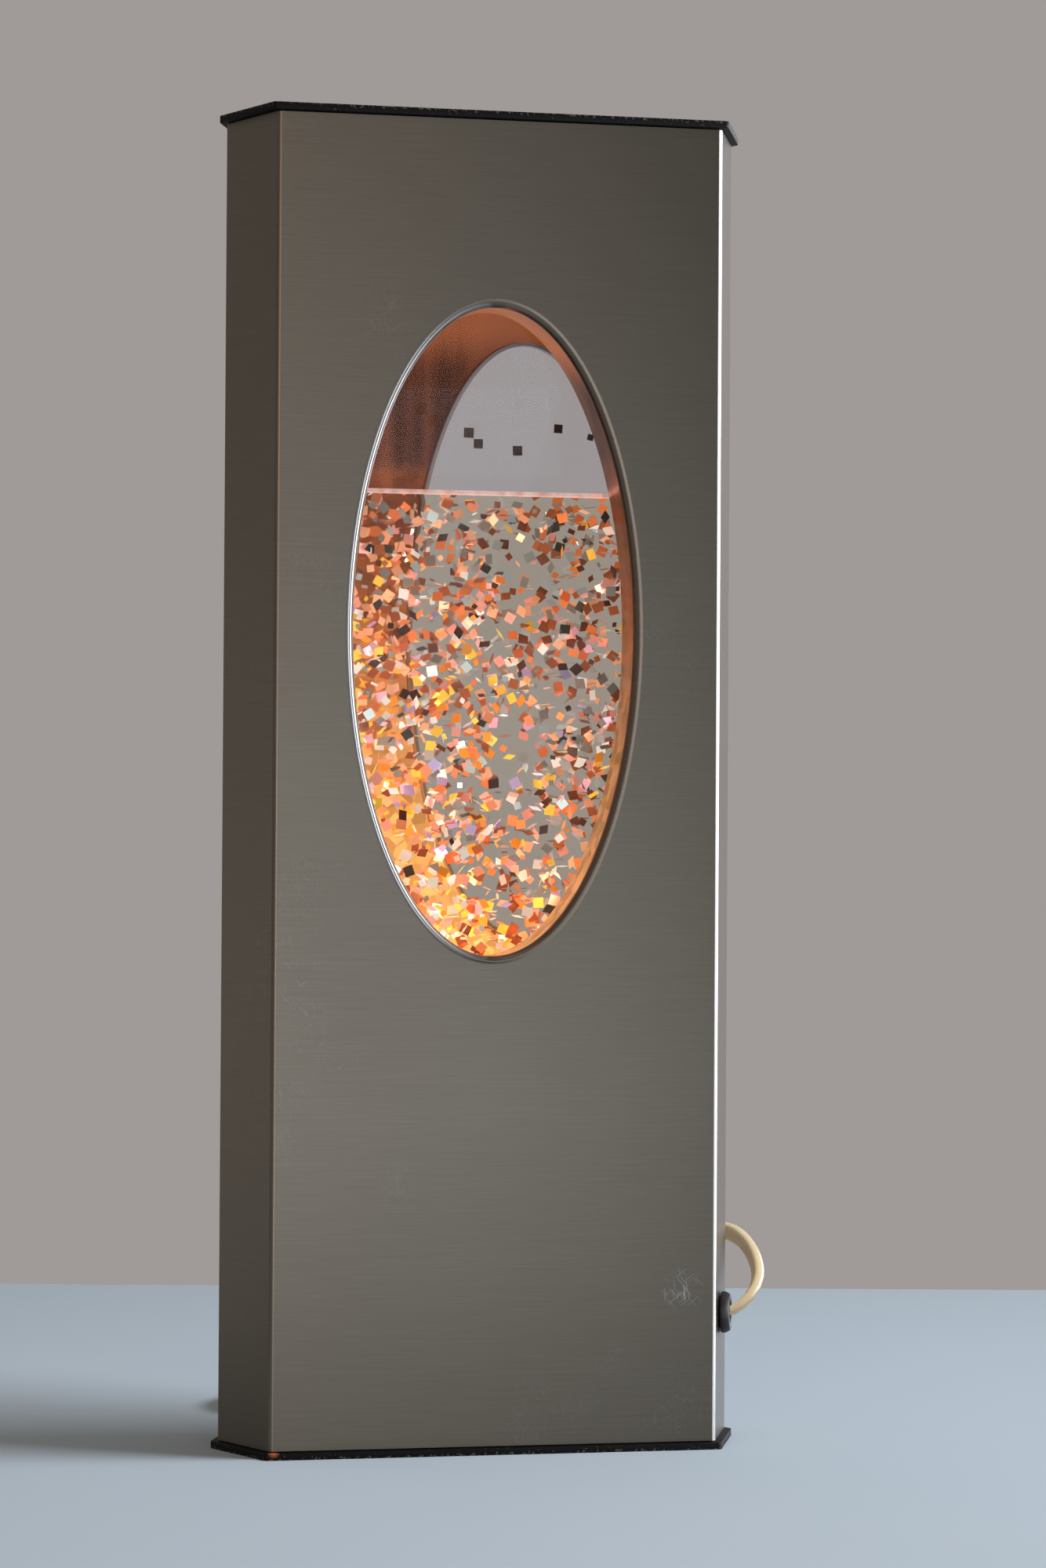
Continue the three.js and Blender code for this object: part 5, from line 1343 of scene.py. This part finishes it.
# name, place, aim, width and height in metres, brightness, colour, and the rays that miss it
lamps = [
    ("window_0", at_bearing(52, 1.55, 0.42), (0, 0, 0.2), 0.9, 1, 6, "#f0f4ff", "diffuse"),
    ("window_1", at_bearing(86, 1.55, 0.42), (0, 0, 0.2), 0.9, 1, 12, "#f0f4ff", "diffuse"),
    ("window_2", at_bearing(120, 1.55, 0.42), (0, 0, 0.2), 0.9, 1, 7, "#f0f4ff", "diffuse"),
    ("daylight_0", at_bearing(60, 0.8, 1.3), (0, 0, 0), 0.3, 0.55, 18.5, "#f4f8ff", "glossy"),
    ("daylight_1", at_bearing(80, 0.8, 1.3), (0, 0, 0), 0.3, 0.55, 16.5, "#f4f8ff", "glossy"),
    ("front_left", (-0.5, -1.6, 0.45), (0, 0, 0.25), 1.3, 1.2, 1.06, "#ffd2a4"),
    ("front_low", (-0.05, -1.5, 0), (0, 0, 0.1), 1.1, 0.44, 4.1, "#d8e8fc", "diffuse"),
    ("left_low", (-1.15, 0.85, 0.06), (0, 0, 0.1), 0.7, 0.3, 0.3, "#ffffff", "diffuse"),
    ("bulb_light", (0, 0, 0.127), (0, 0, 0.3), 0.09, 0.02, 60, "#ffa040", "glossy"),
    ("top_fill", (0, 0.1, 1.8), (0, 0, 0.2), 1.2, 1.2, 0.8, "#ffffff"),
]
for lamp in lamps:
    softbox(*lamp)
print("lamps", len(lamps))

# %% [markdown]
# The right side of the front mirrors a dark part of the room. A card of black felt stands for that, and only
# reflections see it.

# %% Dark card
card_place = Vector(at_bearing(26, 1.9, 1))
card_aim = Vector((0, 0, 0.2))
card_width = 0.75
card_height = 1.7
felt = plain("black_felt", "#0c0b0a", 0.9, speck=0.01, grain_mm=4, bump_strength=0, gloss=0.1)
bm = bmesh.new()
card_turn = (card_place - card_aim).to_track_quat("Z", "Y")
card_frame = Matrix.LocRotScale(card_place, card_turn, Vector((card_width, card_height, 1)))
bmesh.ops.create_grid(bm, x_segments=1, y_segments=1, size=0.5, matrix=card_frame)
card = as_object(bm, "dark_card")
card.data.materials.append(felt)
for ray in ("camera", "diffuse", "transmission", "shadow", "volume_scatter"):
    setattr(card, f"visible_{ray}", False)
print("dark card", card_width, "by", card_height, "m")
